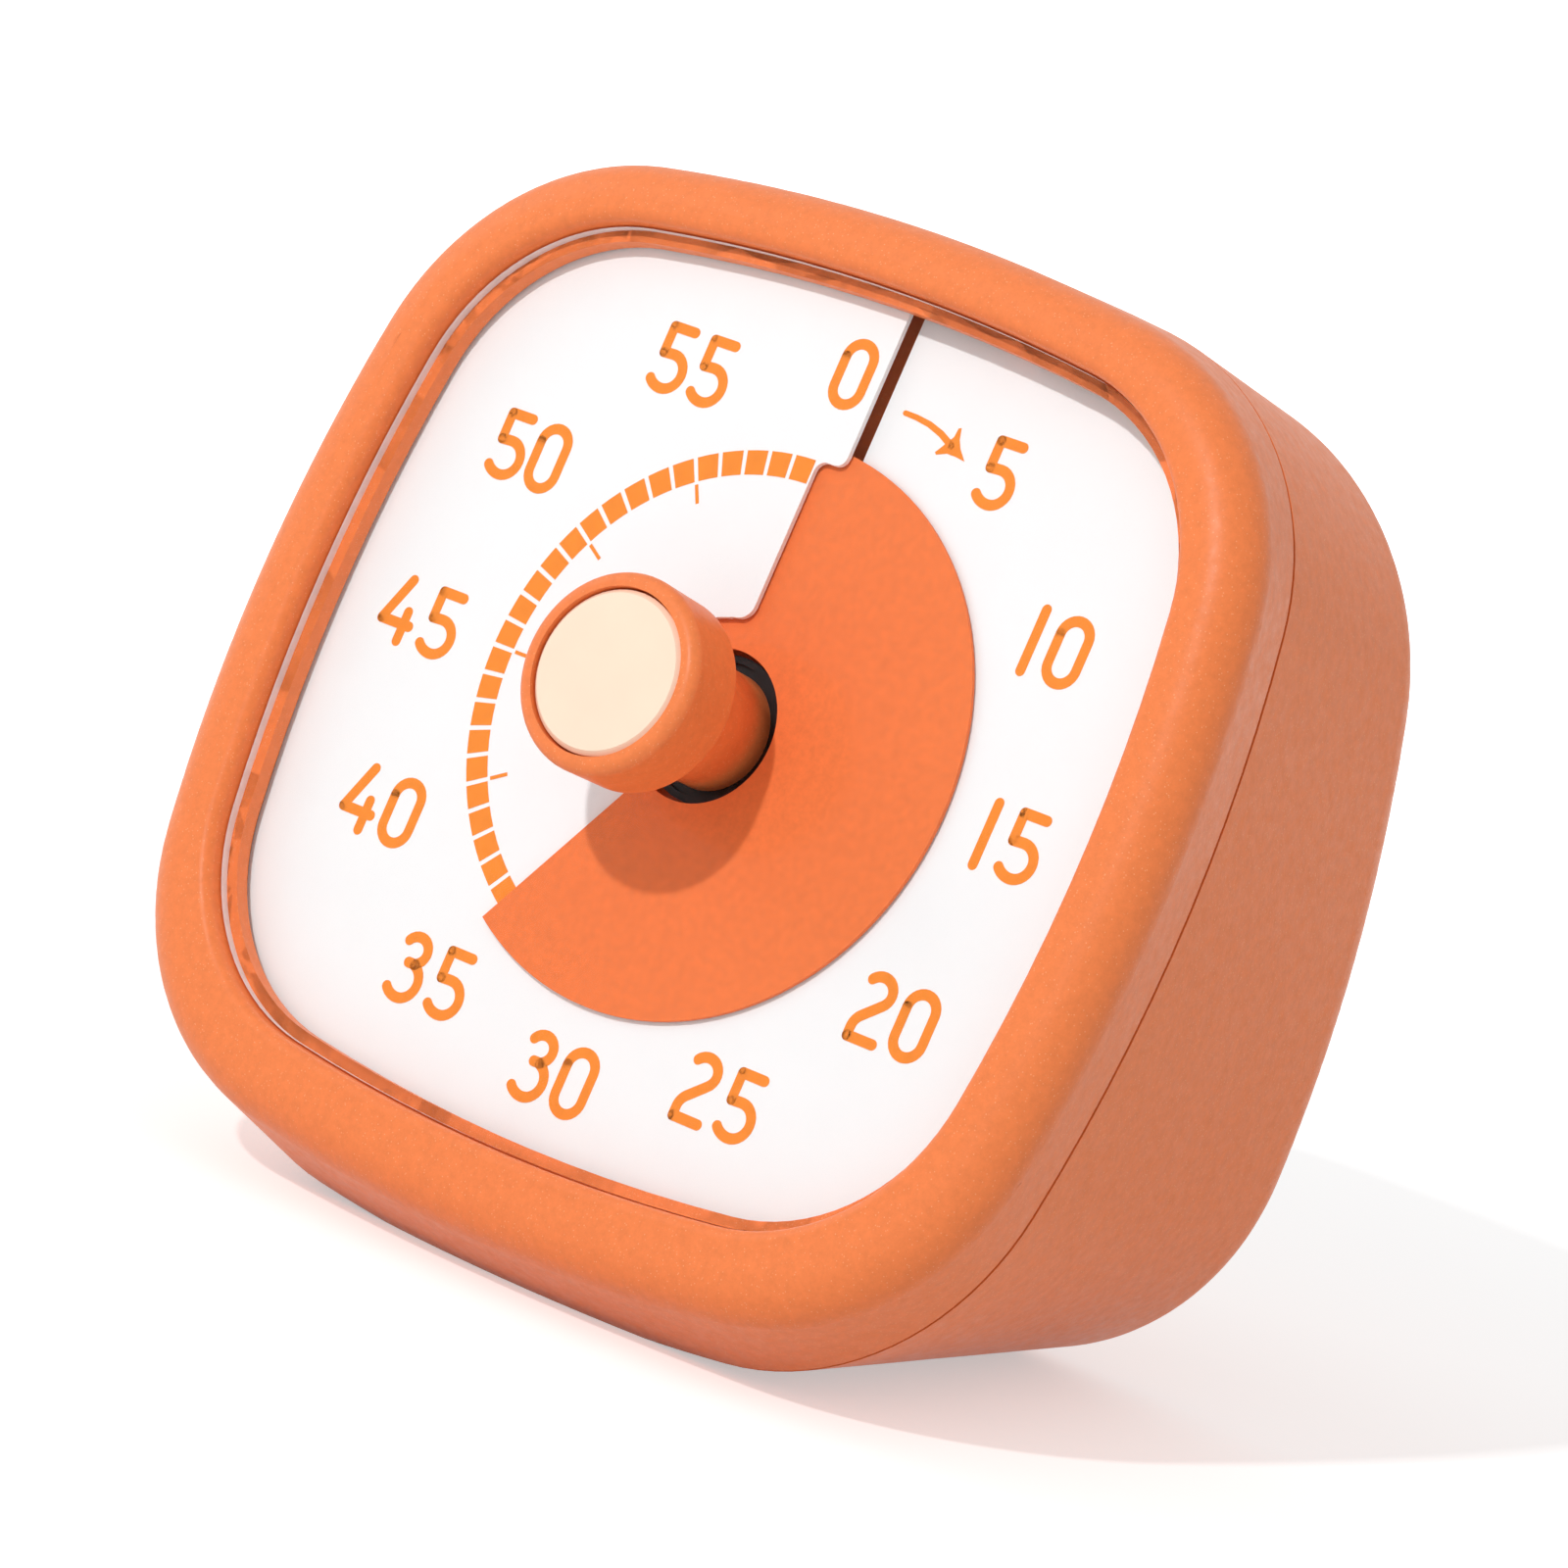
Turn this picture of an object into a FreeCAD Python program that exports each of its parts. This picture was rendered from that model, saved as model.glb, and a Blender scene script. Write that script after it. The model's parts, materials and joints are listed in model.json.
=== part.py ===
import FreeCAD, Part
import math
import os

import Sketcher

# Visual countdown timer: a rounded square case that leans back on its flat base, a white
# dial with a slit, a coloured disc that winds out of the slit, and a setting knob.
#
# Every piece except those on the vertical back wall is drawn in the face frame: x to the
# right, y up along the dial, z out of the dial, with the dial centre as its origin.
# The back wall frame has x to the right, y straight up and z forward, with its origin on
# the standing surface. All sizes are millimetres and degrees.

SIZES = {
    # Stance
    "lean": 15.0,
    "dial_height": 39.6,
    "dial_forward": 10.2,
    "back_depth": 33.8,
    # Case outlines: half width, half height, drop of the centre and corner radius
    "face_half_w": 40.8,
    "face_half_h": 37.0,
    "face_drop": 0.5,
    "face_corner": 20.2,
    "seam_half_w": 38.4,
    "seam_half_h": 38.8,
    "seam_drop": 1.35,
    "seam_corner": 20.7,
    "back_half_w": 35.1,
    "back_half_h": 35.0,
    "back_centre_up": 34.4,
    "back_corner": 21.0,
    "side_bulge": 118.0,
    "top_bulge": 153.0,
    # Case depths along the dial normal
    "face_level": 4.3,
    "seam_level": -4.9,
    "seam_gap": 0.25,
    "face_round": 3.2,
    "lip_round": 0.9,
    "back_round": 4.2,
    "bezel_wall": 2.2,
    "shell_wall": 2.2,
    "spigot_inset": 1.2,
    "spigot_depth": 1.3,
    "spigot_clearance": 0.15,
    # Window in the bezel
    "window_half_w": 33.6,
    "window_half_h": 31.1,
    "window_corner": 15.0,
    "ledge_width": 1.0,
    "ledge_level": 2.0,
    "bezel_under": 0.75,
    "lens_thick": 0.7,
    "lens_clearance": 0.15,
    # Dial and colour disc, two sheets of the same pitch
    "pitch": 1.1,
    "dial_thick": 0.4,
    "disc_thick": 0.3,
    "dial_margin": 0.4,
    "dial_hole": 7.6,
    "slit_step": 2.2,
    "slit_step_radius": 19.6,
    "slit_step_round": 0.8,
    "slit_hub_round": 1.2,
    "slit_hub_trim": 0.05,
    "slit_gap": 0.5,
    "disc_radius": 20.8,
    "disc_hole": 5.6,
    "disc_end_gap": 1.5,
    "set_angle": 211.0,
    # Knob
    "stem_radius": 4.25,
    "stem_bottom": -1.2,
    "head_bottom": 7.3,
    "head_top": 13.0,
    "head_rear_radius": 6.95,
    "head_front_radius": 7.1,
    "head_round": 0.9,
    "inlay_radius": 5.8,
    "inlay_gap": 0.15,
    "inlay_depth": 1.2,
    "inlay_recess": 0.1,
    "lens_hole_gap": 0.35,
    "hub_radius": 5.35,
    "hub_thick": 0.6,
    "spindle_radius": 1.5,
    "spindle_grip": 6.4,
    "running_gap": 0.06,
    # Inner frame
    "frame_top": -2.0,
    "frame_thick": 1.4,
    "frame_margin": 1.4,
    "frame_hole": 2.4,
    "post_radius": 1.8,
    "post_place": 29.5,
    "boss_x": 12.0,
    "boss_y": 32.7,
    "boss_radius": 1.5,
    "ear_radius": 1.5,
    "screw_radius": 0.7,
    "screw_length": 4.2,
    "screw_head_radius": 1.4,
    "screw_head": 0.9,
    "hole_clearance": 0.2,
    # Movement case
    "case_half_w": 23.0,
    "case_half_h": 22.0,
    "case_front": -3.5,
    "case_split": -9.2,
    "case_back": -14.2,
    "case_wall": 1.1,
    "case_round": 3.0,
    "movement_ear_radius": 2.4,
    "ear_thick": 1.4,
    "ear_y": -6.0,
    # Gear train
    "arbor_radius": 0.5,
    "bearing_radius": 1.3,
    "bearing_depth": 0.7,
    "wheel_thick": 0.6,
    "pinion_thick": 1.2,
    "fine_module": 0.2,
    "coarse_module": 0.25,
    "pinion_teeth": 8,
    "centre_teeth": 60,
    "third_teeth": 64,
    "seconds_teeth": 48,
    "step_teeth": 40,
    "centre_wheel_level": -6.0,
    "third_wheel_level": -8.0,
    "seconds_wheel_level": -9.6,
    "step_wheel_level": -11.0,
    "third_direction": 0.0,
    "seconds_direction": 60.0,
    "step_direction": 150.0,
    "rotor_direction": 120.0,
    "magnet_radius": 2.6,
    "magnet_thick": 2.2,
    "magnet_level": -9.2,
    "magnet_gap": 0.4,
    # Coil, stator and circuit board in the movement
    "stator_thick": 0.6,
    "stator_level": -8.6,
    "stator_ring": 1.3,
    "coil_centre_x": -9.0,
    "coil_length": 13.0,
    "coil_radius": 3.3,
    "bobbin_radius": 2.0,
    "flange_radius": 3.7,
    "flange_thick": 0.8,
    "board_thick": 0.8,
    "board_level": -12.6,
    # Battery bay on the back wall
    "battery_radius": 7.1,
    "battery_length": 49.0,
    "battery_nub": 1.4,
    "battery_nub_radius": 2.7,
    "bay_clearance": 0.4,
    "bay_wall": 1.4,
    "bay_half_w": 29.0,
    "bay_centre_up": 24.6,
    "door_thick": 1.6,
    "door_half_w": 31.0,
    "door_half_h": 10.6,
    "door_gap": 0.25,
    "door_seat_gap": 0.15,
    "door_corner": 5.0,
    "door_grip_ribs": 4,
    "spring_radius": 3.2,
    "spring_wire": 0.35,
    "spring_turns": 4,
    "contact_thick": 0.4,
    # Sound board on the back wall
    "sound_up": 52.5,
    "sound_board_half_w": 19.0,
    "sound_board_half_h": 7.5,
    "sound_board_thick": 1.0,
    "sound_board_depth": 9.4,
    "buzzer_x": -7.2,
    "buzzer_radius": 6.5,
    "buzzer_thick": 5.2,
    "sound_hole_radius": 0.75,
    "sound_hole_ring": 3.6,
    "sound_holes": 6,
    "switch_x": 7.6,
    "switch_half_w": 6.0,
    "switch_half_h": 3.2,
    "switch_deep": 5.0,
    "slot_half_w": 4.6,
    "slot_half_h": 1.5,
    "slider_half_w": 1.8,
    "slider_half_h": 1.2,
    "slider_proud": 0.9,
    "board_post_radius": 2.0,
    "board_post_x": 16.6,
    # Screws that hold the back shell
    "well_radius": 3.1,
    "well_bore": 2.3,
    "well_floor": 1.6,
    "top_screw_x": 26.5,
    "top_screw_y": 17.0,
    "bottom_screw_x": 16.0,
    "bottom_screw_y": -26.0,
    "shell_screw_length": 6.0,
    "shell_screw_seat": -9.6,
    "shell_screw_head": 1.4,
    "shell_screw_radius": 1.2,
}

doc = FreeCAD.newDocument("timer")
sheet = doc.addObject("Spreadsheet::Sheet", "sizes")
for row, (alias, number) in enumerate(SIZES.items(), 1):
    sheet.set("A%d" % row, alias)
    sheet.set("B%d" % row, str(number))
    sheet.setAlias("B%d" % row, alias)
doc.recompute()


class Size:
    """A length that knows its number and the sheet formula that gives it."""

    def __init__(self, number, formula):
        self.number = number
        self.formula = formula

    def mix(self, other, sign, result):
        formula = other.formula if isinstance(other, Size) else repr(other)
        return Size(result, "(%s %s %s)" % (self.formula, sign, formula))

    def __add__(self, other):
        return self.mix(other, "+", self.number + number_of(other))

    def __sub__(self, other):
        return self.mix(other, "-", self.number - number_of(other))

    def __mul__(self, other):
        return self.mix(other, "*", self.number * number_of(other))

    def __truediv__(self, other):
        return self.mix(other, "/", self.number / number_of(other))

    def __neg__(self):
        return Size(-self.number, "(0 - %s)" % self.formula)


def number_of(value):
    return value.number if isinstance(value, Size) else float(value)


def L(alias):
    return Size(float(getattr(sheet, alias)), "sizes." + alias)


def bind(obj, prop, value):
    if isinstance(value, Size):
        obj.setExpression(prop, value.formula)


LEAN = math.radians(L("lean").number)
SIN_LEAN = Size(math.sin(LEAN), "sin(sizes.lean)")
COS_LEAN = Size(math.cos(LEAN), "cos(sizes.lean)")

# The face frame and the back wall frame, placed in the part's own frame
FACE = FreeCAD.Placement(
    FreeCAD.Vector(0, -L("dial_forward").number, L("dial_height").number),
    FreeCAD.Rotation(FreeCAD.Vector(1, 0, 0), 90 - L("lean").number))
BACK_WALL_Y = L("back_depth") - L("dial_forward")
BACK = FreeCAD.Placement(
    FreeCAD.Vector(0, BACK_WALL_Y.number, 0),
    FreeCAD.Rotation(FreeCAD.Vector(1, 0, 0), 90))

# Where the back wall frame's origin lies in the face frame
BACK_Y = L("back_depth") * SIN_LEAN - L("dial_height") * COS_LEAN
BACK_Z = -(L("back_depth") * COS_LEAN + L("dial_height") * SIN_LEAN)

kept = []


def keep(obj, label, placement):
    """Name a finished sub-part and stand it in the part's frame."""
    obj.Label = label
    obj.Placement = placement
    kept.append(obj)
    return obj


# Part primitives and booleans bound to the sheet

def seat(obj, x, y, z, rotation=None):
    base = FreeCAD.Vector(number_of(x), number_of(y), number_of(z))
    obj.Placement = FreeCAD.Placement(base, rotation or FreeCAD.Rotation())
    for axis, value in zip("xyz", (x, y, z)):
        bind(obj, "Placement.Base." + axis, value)
    return obj


def box(name, dx, dy, dz, x=0, y=0, z=0):
    """A box centred on x and y, standing on z."""
    obj = doc.addObject("Part::Box", name)
    for prop, value in zip(("Length", "Width", "Height"), (dx, dy, dz)):
        setattr(obj, prop, number_of(value))
        bind(obj, prop, value)
    half_x = dx / 2 if isinstance(dx, Size) else dx / 2.0
    half_y = dy / 2 if isinstance(dy, Size) else dy / 2.0
    return seat(obj, minus(x, half_x), minus(y, half_y), z)


def minus(first, second):
    if isinstance(first, Size):
        return first - second
    if isinstance(second, Size):
        return -second + first
    return first - second


ALONG_X = FreeCAD.Rotation(FreeCAD.Vector(0, 1, 0), 90)


def cylinder(name, radius, height, x=0, y=0, z=0, rotation=None):
    obj = doc.addObject("Part::Cylinder", name)
    for prop, value in zip(("Radius", "Height"), (radius, height)):
        setattr(obj, prop, number_of(value))
        bind(obj, prop, value)
    return seat(obj, x, y, z, rotation)


def fuse(name, shapes):
    obj = doc.addObject("Part::MultiFuse", name)
    obj.Shapes = shapes
    obj.Refine = True
    return obj


def cut(name, base, tools):
    obj = doc.addObject("Part::Cut", name)
    obj.Base = base
    obj.Tool = tools[0] if len(tools) == 1 else fuse(name + "_tools", tools)
    obj.Refine = True
    return obj


def common(name, first, second):
    obj = doc.addObject("Part::Common", name)
    obj.Base = first
    obj.Tool = second
    return obj


# Sketches whose corners and radii are bound to the sheet

def new_body(name):
    return doc.addObject("PartDesign::Body", name)


def sketch(body, name, role="XY_Plane", level=0, on_back_wall=False):
    """A sketch at a level along the dial normal, or on the leaning back wall."""
    sk = body.newObject("Sketcher::SketchObject", name)
    plane = [f for f in body.Origin.OriginFeatures if f.Role == role][0]
    sk.AttachmentSupport = [(plane, "")]
    sk.MapMode = "FlatFace"
    if on_back_wall:
        # The wall frame's origin, moved forward by the level along the wall's normal
        y = BACK_Y - SIN_LEAN * level
        z = BACK_Z + COS_LEAN * level
        turn = FreeCAD.Rotation(FreeCAD.Vector(1, 0, 0), L("lean").number)
        sk.AttachmentOffset = FreeCAD.Placement(FreeCAD.Vector(0, y.number, z.number), turn)
        sk.setExpression("AttachmentOffset.Base.y", y.formula)
        sk.setExpression("AttachmentOffset.Base.z", z.formula)
        sk.setExpression("AttachmentOffset.Rotation.Angle", "sizes.lean")
    elif isinstance(level, Size):
        sk.AttachmentOffset = FreeCAD.Placement(
            FreeCAD.Vector(0, 0, level.number), FreeCAD.Rotation())
        sk.setExpression("AttachmentOffset.Base.z", level.formula)
    return sk


def constrain(sk, kind, where, value):
    index = sk.addConstraint(Sketcher.Constraint(kind, *where, number_of(value)))
    if isinstance(value, Size):
        sk.setExpression("Constraints[%d]" % index, value.formula)


def pin(sk, geo, pos, x, y):
    """Fix a point of the sketch at x and y from the sketch's origin."""
    for kind, value, axis in (("DistanceX", x, -2), ("DistanceY", y, -1)):
        number = number_of(value)
        if abs(number) < 1e-9 and not isinstance(value, Size):
            sk.addConstraint(Sketcher.Constraint("PointOnObject", geo, pos, axis))
        elif number > 0:
            constrain(sk, kind, (-1, 1, geo, pos), value)
        else:
            constrain(sk, kind, (geo, pos, -1, 1), -value)


def circle(sk, radius, x=0, y=0):
    centre = FreeCAD.Vector(number_of(x), number_of(y), 0)
    geo = sk.addGeometry(Part.Circle(centre, FreeCAD.Vector(0, 0, 1), number_of(radius)))
    constrain(sk, "Radius", (geo,), radius)
    if abs(centre.x) < 1e-9 and abs(centre.y) < 1e-9:
        sk.addConstraint(Sketcher.Constraint("Coincident", geo, 3, -1, 1))
    else:
        pin(sk, geo, 3, x, y)
    return geo


def profile(sk, points):
    """A closed run of straight lines through points bound to the sheet."""
    count = len(points)
    corners = [FreeCAD.Vector(number_of(x), number_of(y), 0) for x, y in points]
    first = sk.GeometryCount
    for i in range(count):
        sk.addGeometry(Part.LineSegment(corners[i], corners[(i + 1) % count]))
    for i in range(count):
        following = first + (i + 1) % count
        sk.addConstraint(Sketcher.Constraint("Coincident", first + i, 2, following, 1))
    for i, (x, y) in enumerate(points):
        pin(sk, first + i, 1, x, y)


def rectangle(sk, half_w, half_h, x=0, y=0):
    left, right = minus(x, half_w), plus(x, half_w)
    low, high = minus(y, half_h), plus(y, half_h)
    profile(sk, [(left, low), (right, low), (right, high), (left, high)])


def round_rectangle(sk, half_w, half_h, corner, y):
    """A rectangle about x = 0 with round corners: four lines and four arcs."""
    w, h, r, mid = (number_of(v) for v in (half_w, half_h, corner, y))
    first = sk.GeometryCount
    centres = [(w - r, mid + h - r), (r - w, mid + h - r), (r - w, mid - h + r),
               (w - r, mid - h + r)]
    quarter = math.pi / 2
    for turn, (cx, cy) in enumerate(centres):
        round_edge = Part.Circle(FreeCAD.Vector(cx, cy, 0), FreeCAD.Vector(0, 0, 1), r)
        arc = Part.ArcOfCircle(round_edge, turn * quarter, (turn + 1) * quarter)
        sk.addGeometry(arc)
    for turn in range(4):
        arc, following = sk.Geometry[first + turn], sk.Geometry[first + (turn + 1) % 4]
        sk.addGeometry(Part.LineSegment(arc.EndPoint, following.StartPoint))
    for turn in range(4):
        following = first + (turn + 1) % 4
        sk.addConstraint(Sketcher.Constraint("Tangent", first + turn, 2, first + 4 + turn, 1))
        sk.addConstraint(Sketcher.Constraint("Tangent", first + 4 + turn, 2, following, 1))
    for turn in range(1, 4):
        sk.addConstraint(Sketcher.Constraint("Equal", first, first + turn))
    constrain(sk, "Radius", (first,), corner)
    pin(sk, first, 3, minus(half_w, corner), plus(y, minus(half_h, corner)))
    pin(sk, first + 2, 3, minus(corner, half_w), minus(y, minus(half_h, corner)))


def plus(first, second):
    if isinstance(first, Size):
        return first + second
    if isinstance(second, Size):
        return second + first
    return first + second


def corner_centre(half_w, half_h, side, top, corner):
    """The centre of the arc that joins a bulged side to a bulged top."""
    side_x, top_y = half_w - side, half_h - top
    reach_side, reach_top = side - corner, top - corner
    gap = math.hypot(side_x, top_y)
    along = (reach_side ** 2 - reach_top ** 2 + gap ** 2) / (2 * gap)
    aside = math.sqrt(reach_side ** 2 - along ** 2)
    unit = (-side_x / gap, top_y / gap)
    x = side_x + unit[0] * along - unit[1] * aside
    y = unit[1] * along + unit[0] * aside
    return x, y


def rounded_square(sk, half_w, half_h, corner, drop=0, inset=0):
    """A rounded square with bulged sides: eight tangent arcs, drawn inset by a wall."""
    width, height = minus(half_w, inset), minus(half_h, inset)
    side, top = minus(L("side_bulge"), inset), minus(L("top_bulge"), inset)
    corner = minus(corner, inset)
    low = -number_of(drop)
    numbers = [number_of(v) for v in (width, height, side, top, corner)]
    w, h, rs, rt, rc = numbers
    cx, cy = corner_centre(w, h, rs, rt, rc)
    bend_side = math.atan2(cy, cx - (w - rs))
    bend_top = math.atan2(cx, cy - (h - rt))
    quarter = math.pi / 2
    arcs = []
    for turn, (mx, my) in enumerate(((1, 1), (-1, 1), (-1, -1), (1, -1))):
        middle = turn * quarter
        if turn % 2 == 0:
            arcs.append(((mx * (w - rs), low), rs, middle - bend_side, middle + bend_side))
            start, end = bend_side, quarter - bend_top
        else:
            arcs.append(((0, low + my * (h - rt)), rt, middle - bend_top, middle + bend_top))
            start, end = bend_top, quarter - bend_side
        sign_x, sign_y = ((1, 1), (-1, 1), (-1, -1), (1, -1))[turn]
        arcs.append(((sign_x * cx, low + sign_y * cy), rc, middle + start, middle + end))
    first = sk.GeometryCount
    for (x, y), radius, start, end in arcs:
        round_edge = Part.Circle(FreeCAD.Vector(x, y, 0), FreeCAD.Vector(0, 0, 1), radius)
        sk.addGeometry(Part.ArcOfCircle(round_edge, start, end))
    for i in range(8):
        sk.addConstraint(Sketcher.Constraint("Tangent", first + i, 2, first + (i + 1) % 8, 1))
    for i, radius in ((0, side), (2, top), (4, side), (6, top), (1, corner)):
        constrain(sk, "Radius", (first + i,), radius)
    for i in (3, 5, 7):
        sk.addConstraint(Sketcher.Constraint("Equal", first + 1, first + i))
    y = -drop
    pin(sk, first, 3, width - side, y)
    pin(sk, first + 4, 3, side - width, y)
    pin(sk, first + 2, 3, 0, plus(y, height - top))
    pin(sk, first + 6, 3, 0, minus(y, height - top))


def pad(body, sk, length, name, reverse=False, both=False):
    feature = body.newObject("PartDesign::Pad", name)
    feature.Profile = sk
    feature.Length = number_of(length)
    feature.Reversed = reverse
    feature.Midplane = both
    bind(feature, "Length", length)
    return feature


def pocket(body, sk, length, name, reverse=False, both=False):
    feature = body.newObject("PartDesign::Pocket", name)
    feature.Profile = sk
    feature.Length = number_of(length)
    feature.Reversed = reverse
    feature.Midplane = both
    bind(feature, "Length", length)
    cuts.append(feature)
    return feature


def loft(body, start, end, name, hollow=False):
    kind = "PartDesign::SubtractiveLoft" if hollow else "PartDesign::AdditiveLoft"
    feature = body.newObject(kind, name)
    feature.Profile = start
    feature.Sections = [end]
    feature.Ruled = True
    if hollow:
        cuts.append(feature)
    return feature


def revolve(body, sk, name):
    feature = body.newObject("PartDesign::Revolution", name)
    feature.Profile = sk
    feature.ReferenceAxis = (sk, ["V_Axis"])
    feature.Angle = 360
    return feature


def fillet(body, base, radius, name, test):
    """Round the edges of the base feature that pass the test."""
    doc.recompute()
    edges = ["Edge%d" % (i + 1) for i, e in enumerate(base.Shape.Edges) if test(e)]
    feature = body.newObject("PartDesign::Fillet", name)
    feature.Base = (base, edges)
    feature.Radius = number_of(radius)
    bind(feature, "Radius", radius)
    return feature


def at_level(edge, level, reach):
    """True where an edge lies at a height and stays outside a distance from the axis."""
    return all(abs(v.Z - level) < 1e-3 and math.hypot(v.X, v.Y) > reach
               for v in edge.Vertexes)


cuts = []
FAR = 200.0


def cut_base(body, name):
    """Cut a body in the face frame flat along the standing surface."""
    sk = sketch(body, name + "_sketch", on_back_wall=True)
    profile(sk, [(-FAR, -FAR), (FAR, -FAR), (FAR, 0), (-FAR, 0)])
    return pocket(body, sk, FAR, name, both=True)


# Case

WINDOW = (L("window_half_w"), L("window_half_h"), L("window_corner"))
LENS_SEAT = tuple(v + L("ledge_width") for v in WINDOW)
SEAM = (L("seam_half_w"), L("seam_half_h"), L("seam_corner"))


def front_bezel():
    body = new_body("front_bezel")
    face = sketch(body, "bezel_face", level=L("face_level"))
    rounded_square(face, L("face_half_w"), L("face_half_h"), L("face_corner"), L("face_drop"))
    seam = sketch(body, "bezel_seam", level=L("seam_level"))
    rounded_square(seam, *SEAM, L("seam_drop"))
    outside = loft(body, face, seam, "bezel_outside")
    rounded = fillet(body, outside, L("face_round"), "bezel_round",
                     lambda e: at_level(e, L("face_level").number, 0))
    # Room behind the ring, then the window and the seat of the lens
    room = sketch(body, "bezel_room", level=L("bezel_under"))
    rounded_square(room, L("face_half_w") - 1, L("face_half_h") + 0.7, L("face_corner"),
                   L("face_drop") + 0.3, L("bezel_wall"))
    mouth = sketch(body, "bezel_mouth", level=L("seam_level"))
    rounded_square(mouth, *SEAM, L("seam_drop"), L("bezel_wall"))
    loft(body, room, mouth, "bezel_hollow", hollow=True)
    window = sketch(body, "bezel_window", level=L("face_level"))
    rounded_square(window, *WINDOW)
    pocket(body, window, L("face_level") - L("seam_level"), "bezel_opening")
    ledge = sketch(body, "bezel_ledge", level=L("face_level"))
    rounded_square(ledge, *LENS_SEAT)
    seated = pocket(body, ledge, L("face_level") - L("ledge_level"), "bezel_seat")
    lip = fillet(body, seated, L("lip_round"), "bezel_lip",
                 lambda e: at_level(e, L("face_level").number, 0)
                 and all(abs(v.X) < LENS_SEAT[0].number + 0.1 for v in e.Vertexes)
                 and all(abs(v.Y) < LENS_SEAT[1].number + 0.1 for v in e.Vertexes))
    # Spigot that locates the back shell
    spigot = sketch(body, "bezel_spigot", level=L("seam_level"))
    rounded_square(spigot, *SEAM, L("seam_drop"),
                   L("spigot_inset") + L("spigot_clearance"))
    rounded_square(spigot, *SEAM, L("seam_drop"), L("bezel_wall"))
    pad(body, spigot, L("spigot_depth"), "spigot", reverse=True)
    # Bosses for the screws of the inner frame
    bosses = sketch(body, "bezel_bosses", level=L("frame_top"))
    for sx in (1, -1):
        for sy in (1, -1):
            circle(bosses, L("boss_radius"), L("boss_x") * sx, L("boss_y") * sy)
    pad(body, bosses, L("bezel_under") - L("frame_top") + 0.4, "bosses")
    holes = sketch(body, "bezel_holes", level=L("frame_top"))
    for sx in (1, -1):
        for sy in (1, -1):
            circle(holes, L("screw_radius"), L("boss_x") * sx, L("boss_y") * sy)
    pocket(body, holes, L("bezel_under") - L("frame_top"), "boss_holes", reverse=True)
    body.Tip = cut_base(body, "bezel_base")
    return keep(body, "front_bezel", FACE)


def window_lens():
    body = new_body("window_lens")
    sk = sketch(body, "lens_outline", level=L("ledge_level"))
    rounded_square(sk, *LENS_SEAT, 0, L("lens_clearance"))
    circle(sk, L("stem_radius") + L("lens_hole_gap"))
    body.Tip = pad(body, sk, L("lens_thick"), "lens")
    return keep(body, "window_lens", FACE)


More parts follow.
